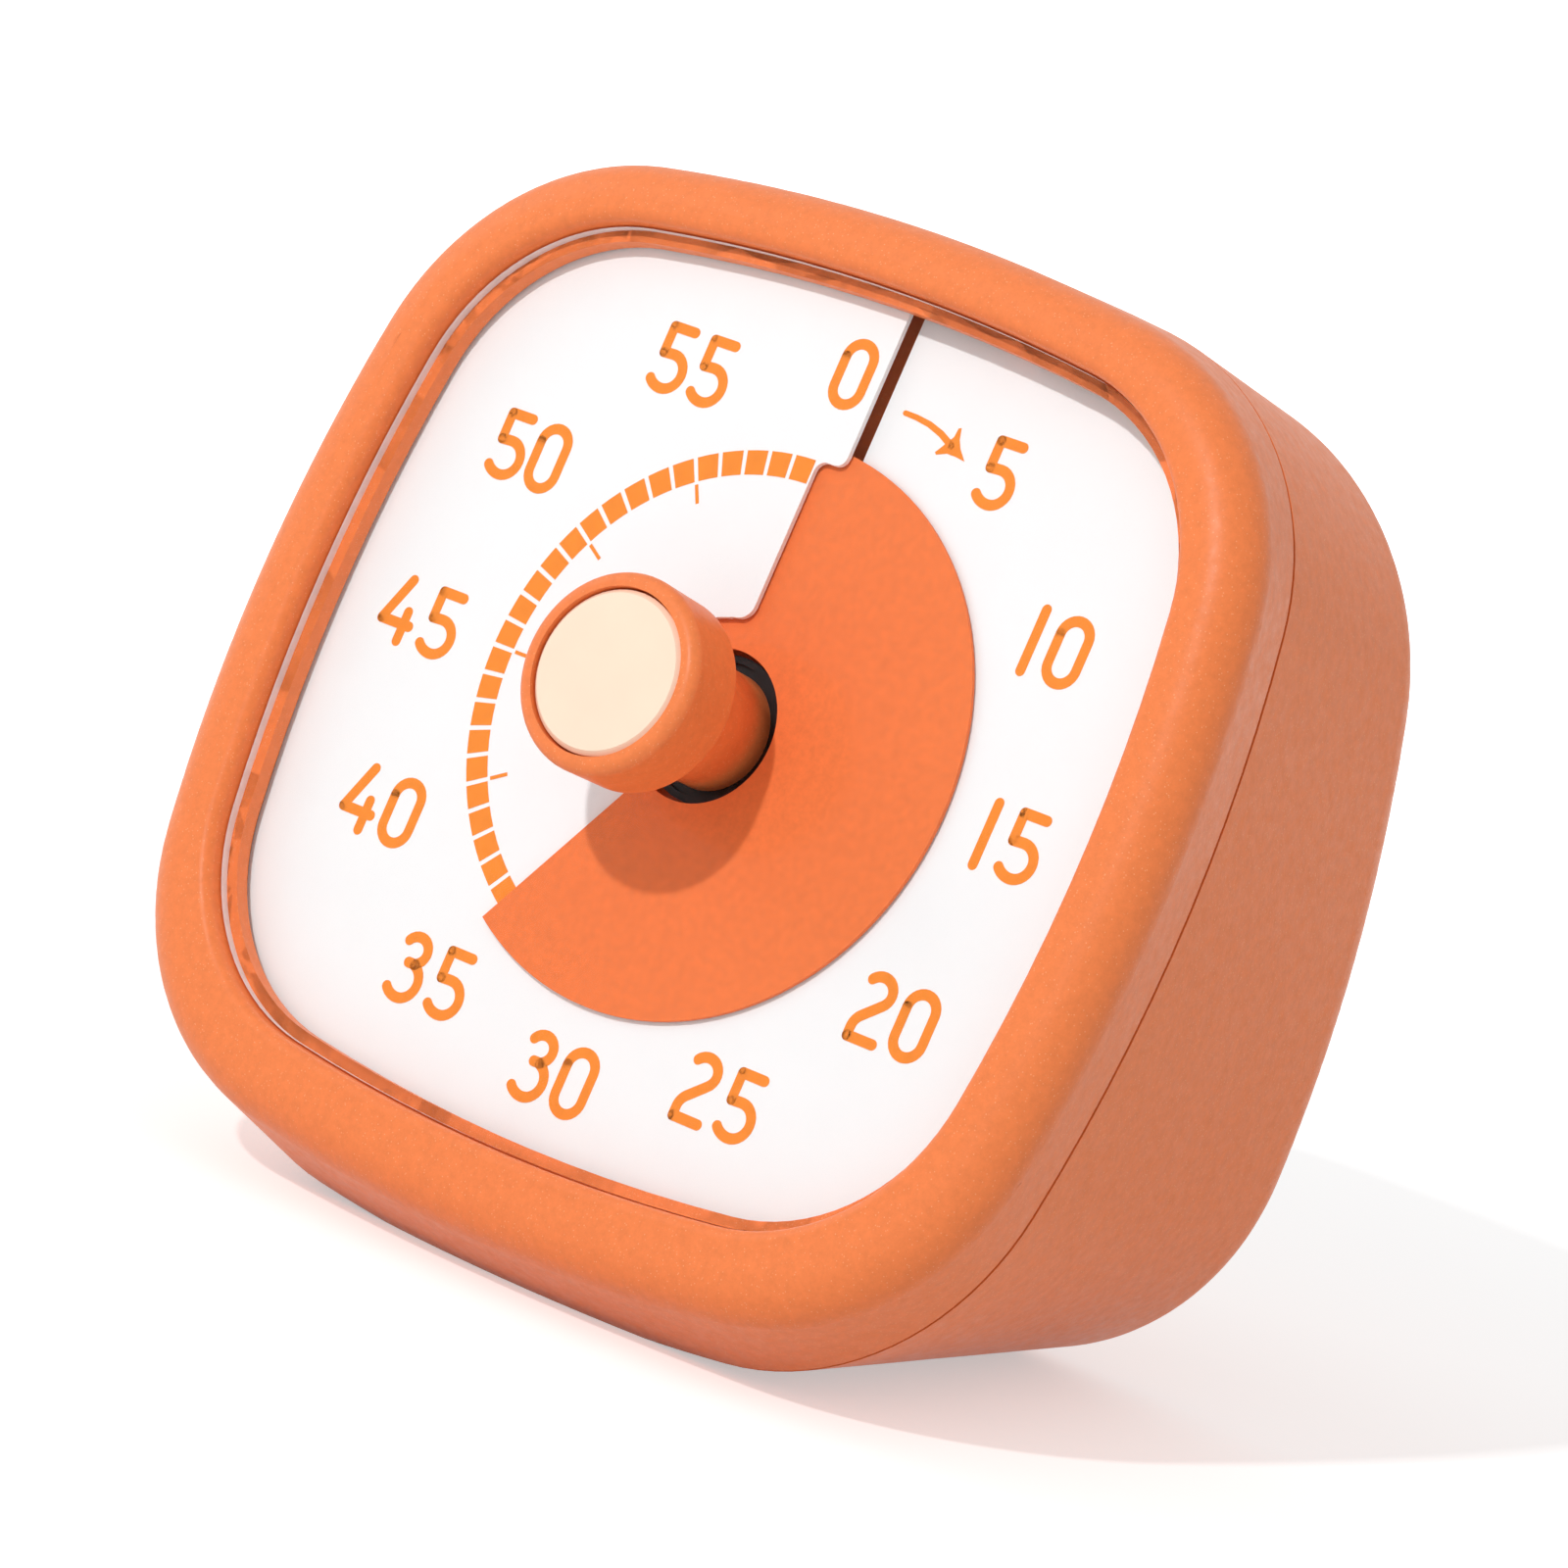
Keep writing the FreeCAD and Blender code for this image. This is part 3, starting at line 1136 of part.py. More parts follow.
def movement():
    movement_case("movement_front", L("case_split"), L("case_front"), False,
                  L("spindle_radius") + L("running_gap"))
    movement_case("movement_back", L("case_back"), L("case_split"), True,
                  L("spindle_radius") + L("running_gap"))
    gear_train()
    # Stator with the ring round the rotor magnet, and the coil on its long arm
    ring_outer = L("magnet_radius") + L("magnet_gap") + L("stator_ring")
    level = L("stator_level")
    ring = cylinder("stator_ring_blank", ring_outer, L("stator_thick"), *ROTOR, level)
    arm_length = ROTOR[0] - L("coil_centre_x") + L("coil_length") / 2 + 2
    arm = box("stator_arm", arm_length, 1.6, L("stator_thick"),
              ROTOR[0] - arm_length / 2, ROTOR[1], level)
    hole = cylinder("stator_hole", L("magnet_radius") + L("magnet_gap"), 3.0, *ROTOR, level - 1)
    keep(cut("stator", fuse("stator_blank", [ring, arm]), [hole]), "stator", FACE)
    middle = level + L("stator_thick") / 2
    left = L("coil_centre_x") - L("coil_length") / 2
    core = cylinder("bobbin_core", L("bobbin_radius"), L("coil_length"), left, ROTOR[1], middle,
                    ALONG_X)
    ends = [cylinder("bobbin_end_%d" % i, L("flange_radius"), L("flange_thick"),
                     left + (L("coil_length") - L("flange_thick")) * i, ROTOR[1], middle, ALONG_X)
            for i in (0, 1)]
    tunnel = box("bobbin_tunnel", L("coil_length") + 2, 1.8, L("stator_thick") + 0.2,
                 L("coil_centre_x"), ROTOR[1], level - 0.1)
    keep(cut("coil_bobbin", fuse("bobbin_blank", [core] + ends), [tunnel]), "coil_bobbin", FACE)
    wound = cylinder("winding_outside", L("coil_radius"),
                     L("coil_length") - L("flange_thick") * 2 - 0.1,
                     left + L("flange_thick") + 0.05, ROTOR[1], middle, ALONG_X)
    inside = cylinder("winding_inside", L("bobbin_radius") + 0.02, L("coil_length"), left,
                      ROTOR[1], middle, ALONG_X)
    keep(cut("coil_winding", wound, [inside]), "coil_winding", FACE)
    # Circuit board with its chip and crystal, and the spring leaf beside the cam
    board = box("board_blank", 15.0, 26.0, L("board_thick"), -13.5, -6.0, L("board_level"))
    keep(cut("circuit_board", board, [cylinder("board_hole", 0.8, 2.0, -19.0, -17.0,
                                               L("board_level") - 0.5)]), "circuit_board", FACE)
    top = L("board_level") + L("board_thick")
    keep(wrap(cylinder("chip_blob", 3.0, 0.9, -14.0, -4.0, top), "control_chip"),
         "control_chip", FACE)
    keep(wrap(cylinder("crystal_can", 1.0, 6.0, -17.0, -12.0, top + 1.05, ALONG_X), "crystal"),
         "quartz_crystal", FACE)
    leaf = box("leaf_strip", 4.0, 0.3, 0.9, -6.0, 5.0, top + 0.2)
    foot = box("leaf_foot", 1.2, 2.0, 0.3, -8.0, 5.0, top)
    rise = box("leaf_rise", 0.4, 0.3, 0.6, -7.6, 5.0, top)
    keep(fuse("alarm_contact", [leaf, foot, rise]), "alarm_contact", FACE)


# Back wall pieces, in the back wall frame: x right, y up, z forward into the case

BAY_AXIS = L("door_thick") + L("battery_radius") + L("bay_clearance") + 0.2


def battery_door():
    body = new_body("battery_door")
    plate = sketch(body, "door_outline")
    rectangle(plate, L("door_half_w"), L("door_half_h"), 0, L("bay_centre_up"))
    block = pad(body, plate, L("door_thick"), "door_plate")
    fillet(body, block, L("door_corner"), "door_corners",
           lambda e: e.BoundBox.ZLength > L("door_thick").number * 0.9)
    # Finger rib field, and two tongues that hook behind the case wall
    grip = sketch(body, "door_grip")
    for i in range(int(L("door_grip_ribs").number)):
        rectangle(grip, 5.0, 0.45, 0, L("bay_centre_up") + L("door_half_h") - 2.6 - 1.6 * i)
    pocket(body, grip, 0.5, "door_grooves", reverse=True)
    tongues = sketch(body, "door_tongues", level=L("door_thick"))
    for sx in (1, -1):
        rectangle(tongues, 3.0, 0.6, 18.0 * sx,
                  L("bay_centre_up") - L("battery_radius") - L("bay_clearance") + 0.9)
    body.Tip = pad(body, tongues, 1.6, "tongues")
    return keep(body, "battery_door", BACK)


def battery():
    body = new_body("battery")
    sk = sketch(body, "battery_section", role="XZ_Plane")
    half = L("battery_length") / 2
    r, nub = L("battery_radius"), L("battery_nub_radius")
    profile(sk, [(0, -half), (r - 1.2, -half), (r - 1.2, -half + 0.3), (r, -half + 0.8),
                 (r, half - 1.2), (r - 0.9, half - 0.3), (r - 0.9, half), (nub, half),
                 (nub, half + L("battery_nub")), (0, half + L("battery_nub"))])
    body.Tip = revolve(body, sk, "battery_turned")
    middle = FreeCAD.Vector(0, L("bay_centre_up").number, BAY_AXIS.number)
    lying = FreeCAD.Placement(middle, ALONG_X)
    return keep(body, "battery", BACK.multiply(lying))


def battery_contacts():
    thick = L("contact_thick")
    plate_x = L("bay_half_w") - thick
    for label, sign in (("positive_contact", 1), ("negative_contact", -1)):
        x = (plate_x + thick / 2) * sign
        plate = box(label + "_plate", thick, 9.0, 9.0, x, L("bay_centre_up"), BAY_AXIS - 4.5)
        dome = cylinder(label + "_dome", 1.6, 0.5, (plate_x - 0.5) if sign > 0
                        else -plate_x, L("bay_centre_up"), BAY_AXIS, ALONG_X)
        keep(fuse(label, [plate, dome]), label, BACK)
    # Coil spring between the negative plate and the battery's flat end
    gap = plate_x - L("battery_length") / 2
    length = gap - L("spring_wire") * 2 - 0.15
    radius, wire = L("spring_radius").number, L("spring_wire").number
    quarters = int(L("spring_turns").number) * 4

    def on_line(quarter):
        angle = quarter * math.pi / 2
        return FreeCAD.Vector(radius * math.cos(angle), radius * math.sin(angle),
                              length.number * quarter / quarters)

    line = Part.Wire([Part.Arc(on_line(i), on_line(i + 0.5), on_line(i + 1)).toShape()
                      for i in range(quarters)])
    section = Part.Wire([Part.makeCircle(wire, on_line(0), on_line(0.01) - on_line(0))])
    spring = doc.addObject("Part::Feature", "contact_spring")
    spring.Shape = line.makePipeShell([section], True, False)
    start = -(plate_x - L("spring_wire") - 0.05)
    middle = FreeCAD.Vector(start.number, L("bay_centre_up").number, BAY_AXIS.number)
    return keep(spring, "contact_spring", BACK.multiply(FreeCAD.Placement(middle, ALONG_X)))


def sound_board():
    depth = L("sound_board_depth")
    blank = box("sound_board_blank", L("sound_board_half_w") * 2, L("sound_board_half_h") * 2,
                L("sound_board_thick"), 0, L("sound_up"), depth)
    holes = [cylinder("sound_board_hole_%d" % i, L("screw_radius") + L("hole_clearance"), 3.0,
                      L("board_post_x") * sx, L("sound_up"), depth - 1)
             for i, sx in enumerate((1, -1))]
    keep(cut("sound_board", blank, holes), "sound_board", BACK)
    rim = L("buzzer_thick")
    can = cylinder("buzzer_can", L("buzzer_radius"), rim, L("buzzer_x"), L("sound_up"),
                   depth - rim)
    port = cylinder("buzzer_port", 1.0, 1.0, L("buzzer_x"), L("sound_up"), depth - rim - 0.3)
    keep(cut("buzzer", can, [port]), "buzzer", BACK)
    # Volume switch: a frame open to the back with a sliding knob in it
    frame_low = depth - L("switch_deep")
    frame = box("switch_frame", L("switch_half_w") * 2, L("switch_half_h") * 2,
                L("switch_deep"), L("switch_x"), L("sound_up"), frame_low)
    room = box("switch_room", (L("slot_half_w") + 0.1) * 2, (L("slot_half_h") + 0.1) * 2, 3.0,
               L("switch_x"), L("sound_up"), frame_low - 0.5)
    keep(cut("volume_switch", frame, [room]), "volume_switch", BACK)
    reach = frame_low + 2.2 + L("slider_proud")
    knob = box("slider_block", L("slider_half_w") * 2, L("slider_half_h") * 2, reach,
               L("switch_x"), L("sound_up"), -L("slider_proud"))
    grooves = [box("slider_groove_%d" % i, 0.4, FAR / 20, 0.5,
                   L("switch_x") + 1.1 * (i - 1), L("sound_up"), -L("slider_proud") - 0.2)
               for i in range(3)]
    keep(cut("volume_slider", knob, grooves), "volume_slider", BACK)
    places = [(L("board_post_x") * sx, L("sound_up")) for sx in (1, -1)]
    flipped = BACK.multiply(FreeCAD.Placement(
        FreeCAD.Vector(0, 0, 0), FreeCAD.Rotation(FreeCAD.Vector(0, 1, 0), 180)))
    screw_group("board_screws", places, -(depth + L("sound_board_thick")),
                L("screw_length") + 0.4, L("screw_radius") - 0.02, L("screw_head_radius"),
                L("screw_head"), flipped)


def main():
    front_bezel()
    window_lens()
    back_shell()
    dial_plate()
    colour_disc()
    knob_body()
    knob_inlay()
    disc_hub()
    spindle()
    clutch_washer()
    alarm_cam()
    inner_frame()
    frame_screws()
    movement_screws()
    shell_screws()
    movement()
    battery_door()
    battery()
    battery_contacts()
    sound_board()
    doc.recompute()
    for obj in doc.Objects:
        bad = [s for s in obj.State if s in ("Invalid", "Error")]
        if bad:
            raise RuntimeError("%s failed: %s" % (obj.Name, bad))
    for feature in cuts:
        if feature.Shape.Volume > feature.BaseFeature.Shape.Volume - 0.01:
            raise RuntimeError("%s takes nothing away" % feature.Name)
    os.makedirs("parts", exist_ok=True)
    for obj in kept:
        shape = obj.Shape
        if shape.isNull() or not shape.isValid() or not shape.Solids:
            raise RuntimeError("%s has no valid solid" % obj.Label)
        shape.exportStep("parts/%s.step" % obj.Label)
    print(len(kept), "sub-parts written")


main()
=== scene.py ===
import json
import math

import bmesh
import bpy
from mathutils import Matrix, Vector


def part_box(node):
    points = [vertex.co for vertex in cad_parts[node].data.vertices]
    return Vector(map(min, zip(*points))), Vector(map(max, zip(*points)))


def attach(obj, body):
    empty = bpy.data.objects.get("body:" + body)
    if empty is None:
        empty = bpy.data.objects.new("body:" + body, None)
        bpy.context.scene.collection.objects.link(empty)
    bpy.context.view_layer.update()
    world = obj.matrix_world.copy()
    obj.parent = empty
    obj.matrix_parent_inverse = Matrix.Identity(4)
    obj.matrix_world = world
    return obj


# The countdown timer dressed for a studio picture: finishes for every CAD node, the ink on the
# dial, a pale floor, soft light and the photograph's camera. All lengths are metres.

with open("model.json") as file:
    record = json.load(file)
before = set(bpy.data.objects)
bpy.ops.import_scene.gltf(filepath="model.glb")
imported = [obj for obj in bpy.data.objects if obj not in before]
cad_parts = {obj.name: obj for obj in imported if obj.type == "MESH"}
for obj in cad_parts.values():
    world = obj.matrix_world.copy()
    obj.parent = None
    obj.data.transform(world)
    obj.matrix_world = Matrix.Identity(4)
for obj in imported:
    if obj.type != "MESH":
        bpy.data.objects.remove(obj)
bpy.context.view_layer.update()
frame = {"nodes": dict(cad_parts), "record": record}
nodes = frame["nodes"]
MM = 0.001


# The face frame: x right, y up along the dial, z out of the dial, from the dial centre

LEAN = math.radians(15)
PITCH = 1.1 * MM
LENS_MIDDLE = 2.35 * MM


def middle(node):
    low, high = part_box(node)
    return (low + high) / 2


def face_frame():
    """The lens is an even plate about the dial's axis, so its middle lies on that axis."""
    out = Vector((0, -math.cos(LEAN), math.sin(LEAN)))
    up = Vector((0, math.sin(LEAN), math.cos(LEAN)))
    centre = middle("window_lens") - out * LENS_MIDDLE
    turn = Matrix((Vector((1, 0, 0)), up, out)).transposed()
    return Matrix.Translation(centre) @ turn.to_4x4()


FACE = face_frame()


def clockwise(x, y):
    """The angle of a dial place, clockwise from the slit, in degrees from 0 to 360."""
    return math.degrees(math.atan2(x, y)) % 360


def dial_height(x, y, over_slit=False):
    """The dial's top there: it climbs one pitch in a clockwise turn. A print that crosses the
    slit goes on at the height of the sheet's upper end."""
    angle = clockwise(x, y)
    if over_slit and angle < 90:
        angle += 360
    return PITCH * (angle / 360 - 0.5)


# Small tools for node materials. A texture's scale is in cells to the metre.

NOISE_LOW, NOISE_HIGH = 0.3, 0.7  # the middle range, where most of a noise texture lies


def new_material(name):
    material = bpy.data.materials.new(name)
    material.use_nodes = True
    tree = material.node_tree
    return material, tree, tree.nodes["Principled BSDF"]


def place(tree):
    return tree.nodes.new("ShaderNodeTexCoord").outputs["Object"]


def noise(tree, scale, detail=3.0, roughness=0.55):
    node = tree.nodes.new("ShaderNodeTexNoise")
    node.inputs["Scale"].default_value = scale
    node.inputs["Detail"].default_value = detail
    node.inputs["Roughness"].default_value = roughness
    tree.links.new(place(tree), node.inputs["Vector"])
    return node.outputs["Fac"]


def ramp(tree, value, stops):
    node = tree.nodes.new("ShaderNodeValToRGB")
    while len(node.color_ramp.elements) < len(stops):
        node.color_ramp.elements.new(0.5)
    for element, (where, colour) in zip(node.color_ramp.elements, stops):
        element.position = where
        element.color = (*colour, 1)
    tree.links.new(value, node.inputs["Fac"])
    return node.outputs["Color"]


def connect(tree, node, values):
    """Give a node's sockets their numbers, vectors or links, in order."""
    for socket, value in zip(node.inputs, values):
        if isinstance(value, bpy.types.NodeSocket):
            tree.links.new(value, socket)
        else:
            socket.default_value = value


def calculate(tree, operation, *values):
    node = tree.nodes.new("ShaderNodeMath")
    node.operation = operation
    connect(tree, node, values)
    return node.outputs["Value"]


def measure(tree, operation, *values):
    """A vector operation whose answer is a number."""
    node = tree.nodes.new("ShaderNodeVectorMath")
    node.operation = operation
    connect(tree, node, values)
    return node.outputs["Value"]


def blend_shaders(tree, amount, first, second):
    node = tree.nodes.new("ShaderNodeMixShader")
    connect(tree, node, (amount, first, second))
    return node.outputs["Shader"]


def surface(tree, shader_output):
    tree.links.new(shader_output, tree.nodes["Material Output"].inputs["Surface"])


def tint(tree, texture, colour, low, high):
    """A colour that a texture makes darker and lighter by two factors."""
    return ramp(tree, texture, [(NOISE_LOW, shade(colour, low)), (NOISE_HIGH, shade(colour, high))])


def roughen(tree, shader, scale, low, high, detail=3.0):
    """Uneven gloss: a noise stretched between two roughnesses."""
    node = tree.nodes.new("ShaderNodeMapRange")
    node.inputs["From Min"].default_value = NOISE_LOW
    node.inputs["From Max"].default_value = NOISE_HIGH
    node.inputs["To Min"].default_value = low
    node.inputs["To Max"].default_value = high
    tree.links.new(noise(tree, scale, detail), node.inputs["Value"])
    tree.links.new(node.outputs["Result"], shader.inputs["Roughness"])


def bump(tree, shader, height, distance, strength):
    node = tree.nodes.new("ShaderNodeBump")
    node.inputs["Distance"].default_value = distance
    node.inputs["Strength"].default_value = strength
    tree.links.new(height, node.inputs["Height"])
    tree.links.new(node.outputs["Normal"], shader.inputs["Normal"])


def seen_directly(tree):
    """1 for what the camera sees, by itself or in a gloss or through glass, and 0 for light."""
    path = tree.nodes.new("ShaderNodeLightPath")
    by_eye = calculate(tree, "MAXIMUM", path.outputs["Is Camera Ray"],
                       path.outputs["Is Transmission Ray"])
    return calculate(tree, "MAXIMUM", by_eye, path.outputs["Is Glossy Ray"])


def linear(rgb):
    """An sRGB colour of 0 to 255 as linear light."""
    return tuple((c / 255 / 12.92) if c <= 10 else ((c / 255 + 0.055) / 1.055) ** 2.4
                 for c in rgb)


def shade(colour, factor):
    return tuple(min(1.0, c * factor) for c in colour)


def moulded(name, rgb, gloss=0.5, grain=2600, depth=0.012, mottle=0.06, specular=0.5):
    """Moulded plastic with a fine eroded grain, faint mottling and uneven gloss."""
    material, tree, shader = new_material(name)
    cloudy = noise(tree, 180, 4)
    tree.links.new(tint(tree, cloudy, linear(rgb), 1 - mottle, 1 + mottle),
                   shader.inputs["Base Color"])
    roughen(tree, shader, 900, gloss - 0.05, gloss + 0.07)
    shader.inputs["Specular IOR Level"].default_value = specular
    bump(tree, shader, noise(tree, grain, 2), depth * MM, 0.6)
    return material


def metal(name, rgb, gloss=0.3, grain=1500):
    """Plated or drawn metal, a little cloudy."""
    material, tree, shader = new_material(name)
    cloudy = noise(tree, 700, 4)
    tree.links.new(tint(tree, cloudy, linear(rgb), 0.88, 1.0), shader.inputs["Base Color"])
    shader.inputs["Metallic"].default_value = 1.0
    roughen(tree, shader, grain, gloss - 0.07, gloss + 0.1)
    bump(tree, shader, noise(tree, grain * 2, 2), 0.004 * MM, 0.5)
    return material


def sparkled_case():
    """Satin plastic with fine pale specks painted into its colour as glints of light on the grain.
    """
    material, tree, shader = new_material("case_orange")
    cloudy = noise(tree, 1300, 6, 0.75)
    glint_cells = tree.nodes.new("ShaderNodeTexVoronoi")
    glint_cells.inputs["Scale"].default_value = 3200
    tree.links.new(place(tree), glint_cells.inputs["Vector"])
    # Painted highlight: pale specks in the base colour stand in for glints of light on the grain.
    glint_core, glint_edge = 0.06, 0.2
    glint_mask = ramp(tree, glint_cells.outputs["Distance"], [(glint_core, WHITE), (glint_edge, BLACK)])
    mix = tree.nodes.new("ShaderNodeMix")
    mix.data_type = "RGBA"
    first, second = (socket for socket in mix.inputs if socket.type == "RGBA")
    tree.links.new(glint_mask, mix.inputs["Factor"])
    tree.links.new(tint(tree, cloudy, linear(CASE), 0.92, 1.07), first)
    second.default_value = (*linear(CASE_PAINTED_GLINT), 1)
    mixed = next(socket for socket in mix.outputs if socket.type == "RGBA")
    tree.links.new(mixed, shader.inputs["Base Color"])
    roughen(tree, shader, 1100, 0.36, 0.48)
    shader.inputs["Specular IOR Level"].default_value = 0.3
    bump(tree, shader, noise(tree, 3200, 2), 0.018 * MM, 0.8)
    return material


def dial_sheet():
    """Coated white sheet with the faintest fibre and orange-peel."""
    material, tree, shader = new_material("dial_white")
    fibre = noise(tree, 260, 5)
    tree.links.new(tint(tree, fibre, linear(DIAL), 0.985, 1.0), shader.inputs["Base Color"])
    roughen(tree, shader, 800, 0.55, 0.65)
    shader.inputs["Specular IOR Level"].default_value = 0.3
    bump(tree, shader, noise(tree, 1500, 3), 0.003 * MM, 0.4)
    return material


def grained_disc():
    """Matte coloured sheet with a pebbled grain."""
    material, tree, shader = new_material("disc_orange")
    pebbles = noise(tree, 1500, 5, 0.75)
    tree.links.new(tint(tree, pebbles, linear(DISC), 0.91, 1.08), shader.inputs["Base Color"])
    roughen(tree, shader, 1500, 0.6, 0.72)
    shader.inputs["Specular IOR Level"].default_value = 0.3
    bump(tree, shader, noise(tree, 1900, 3, 0.7), 0.02 * MM, 0.6)
    return material


def lens_edge(tree):
    """A highlight painted on the lens's outer edge: how far a place is on that edge, from 0 on its
    faces to EDGE_HIGHLIGHT, the painted highlight's whiteness. The edge of the hole for the knob is
    left clear."""
    geometry = tree.nodes.new("ShaderNodeNewGeometry")
    lens_axis = FACE.to_3x3() @ Vector((0, 0, 1))
    across = measure(tree, "DOT_PRODUCT", geometry.outputs["True Normal"], lens_axis)
    flatness = calculate(tree, "ABSOLUTE", across)
    edge_below, face_above = 0.3, 0.6
    highlight_band = ramp(tree, flatness, [(edge_below, (EDGE_HIGHLIGHT,) * 3), (face_above, BLACK)])
    from_axis = measure(tree, "DISTANCE", place(tree), FACE.translation)
    outside = calculate(tree, "GREATER_THAN", from_axis, HOLE_ZONE)
    return calculate(tree, "MULTIPLY", highlight_band, outside)


def clear_sheet():
    """Clear plastic: seen through, with a gloss that grows at a slant, faint wipe marks and a white
    highlight painted on its outer edge."""
    material, tree, shader = new_material("clear")
    tree.nodes.remove(shader)
    through = tree.nodes.new("ShaderNodeBsdfTransparent").outputs["BSDF"]
    gloss = tree.nodes.new("ShaderNodeBsdfGlossy")
    roughen(tree, gloss, 60, 0.02, 0.06, detail=5)
    slant = tree.nodes.new("ShaderNodeLayerWeight").outputs["Facing"]
    steep = calculate(tree, "POWER", slant, 5.0)
    face_on_gloss, slanting_gloss = 0.004, 0.5
    sheen = calculate(tree, "MULTIPLY_ADD", steep, slanting_gloss, face_on_gloss)
    sheet = blend_shaders(tree, sheen, through, gloss.outputs["BSDF"])
    # Painted highlight: a white diffuse coat on the lens's outer edge stands in for the light it
    # catches.
    painted_highlight = tree.nodes.new("ShaderNodeBsdfDiffuse")
    tree.links.new(tint(tree, noise(tree, 900), WHITE, 0.9, 1.0), painted_highlight.inputs["Color"])
    surface(tree, blend_shaders(tree, lens_edge(tree), sheet, painted_highlight.outputs["BSDF"]))
    return material


def battery_label():
    """Printed battery sleeve: dark with a gold band, and bare metal at both ends."""
    material, tree, shader = new_material("battery_skin")
    low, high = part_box("battery")
    split = tree.nodes.new("ShaderNodeSeparateXYZ")
    tree.links.new(place(tree), split.inputs["Vector"])
    along = tree.nodes.new("ShaderNodeMapRange")
    along.inputs["From Min"].default_value = low.x
    along.inputs["From Max"].default_value = high.x
    tree.links.new(split.outputs["X"], along.inputs["Value"])
    bare, dark = (0.6, 0.6, 0.6), (0.02, 0.022, 0.025)
    sleeve = ramp(tree, along.outputs["Result"], [
        (0.0, bare), (0.02, dark), (0.7, dark), (0.71, linear((200, 150, 60))),
        (0.96, linear((190, 140, 55))), (0.965, bare)])
    tree.links.new(sleeve, shader.inputs["Base Color"])
    roughen(tree, shader, 500, 0.25, 0.35)
    bump(tree, shader, noise(tree, 900, 2), 0.003 * MM, 0.4)
    return material


def printed_ink():
    """Screen-printed ink with a slightly uneven film."""
    material, tree, shader = new_material("dial_ink")
    film = noise(tree, 1300, 4)
    tree.links.new(tint(tree, film, linear(INK), 0.94, 1.04), shader.inputs["Base Color"])
    roughen(tree, shader, 1200, 0.5, 0.6)
    shader.inputs["Specular IOR Level"].default_value = 0.3
    bump(tree, shader, noise(tree, 1800, 2), 0.003 * MM, 0.4)
    return material


# Colours matched to the photograph, as sRGB from 0 to 255

CASE = (243, 131, 71)
# the colour of the painted glints on the case's grain
CASE_PAINTED_GLINT = (251, 168, 116)
DISC = (243, 124, 64)
DIAL = (250, 252, 253)
INK = (250, 142, 42)
CREAM = (254, 226, 201)

# Linear light

WHITE, BLACK = (1, 1, 1), (0, 0, 0)
EDGE_HIGHLIGHT = 0.8  # how white the highlight painted on the lens's outer edge is
HOLE_ZONE = 15 * MM  # the lens's edge within this reach of the dial centre is its hole

finishes = {
    "case_orange": sparkled_case(),
    "disc_orange": grained_disc(),
    "dial_white": dial_sheet(),
    "clear": clear_sheet(),
    "cream": moulded("cream", CREAM, 0.5, 2200, 0.008, 0.02),
    "black": moulded("black", (9, 9, 11), 0.5, specular=0.3),
    "movement_plastic": moulded("movement_plastic", (44, 45, 48), 0.4),
    "gear_plastic": moulded("gear_plastic", (238, 234, 222), 0.35, 1800, 0.005, 0.03),
    "steel": metal("steel", (196, 196, 198)),
    "copper": metal("copper", (190, 110, 62), 0.28),
    "brass": metal("brass", (214, 178, 96), 0.25),
    "board_green": moulded("board_green", (34, 84, 52), 0.3, 900, 0.01, 0.12),
    "battery_skin": battery_label(),
}
for part in frame["record"]["subparts"]:
    thing = nodes[part["node"]]
    thing.data.materials.clear()
    thing.data.materials.append(finishes[part["material_slot"]])


# Ink on the dial: flat shapes of a few hundredths of a millimetre that follow the sheet

INK_MATERIAL = printed_ink()
INK_LOW, INK_HIGH = -0.02 * MM, 0.035 * MM
SAME_POINT = 0.001 * MM
SHARPEST_MITRE = 0.5


def on_dial(mesh, x, y, lift, over_slit):
    return mesh.verts.new(FACE @ Vector((x, y, dial_height(x, y, over_slit) + lift)))


def prism(mesh, outline, over_slit=False):
    """Raise a closed outline, in face frame metres, into a thin slab on the dial."""
    low, high = ([on_dial(mesh, x, y, lift, over_slit) for x, y in outline]
                 for lift in (INK_LOW, INK_HIGH))
    mesh.faces.new(high)
    mesh.faces.new(list(reversed(low)))
    count = len(outline)
    for i in range(count):
        mesh.faces.new((low[i], low[(i + 1) % count], high[(i + 1) % count], high[i]))


def arc(x, y, across, along, start, end, steps=14):
    """Points of an elliptical arc, angles in degrees anticlockwise from the right."""
    points = []
    for i in range(steps + 1):
        angle = math.radians(start + (end - start) * i / steps)
        points.append((x + across * math.cos(angle), y + along * math.sin(angle)))
    return points


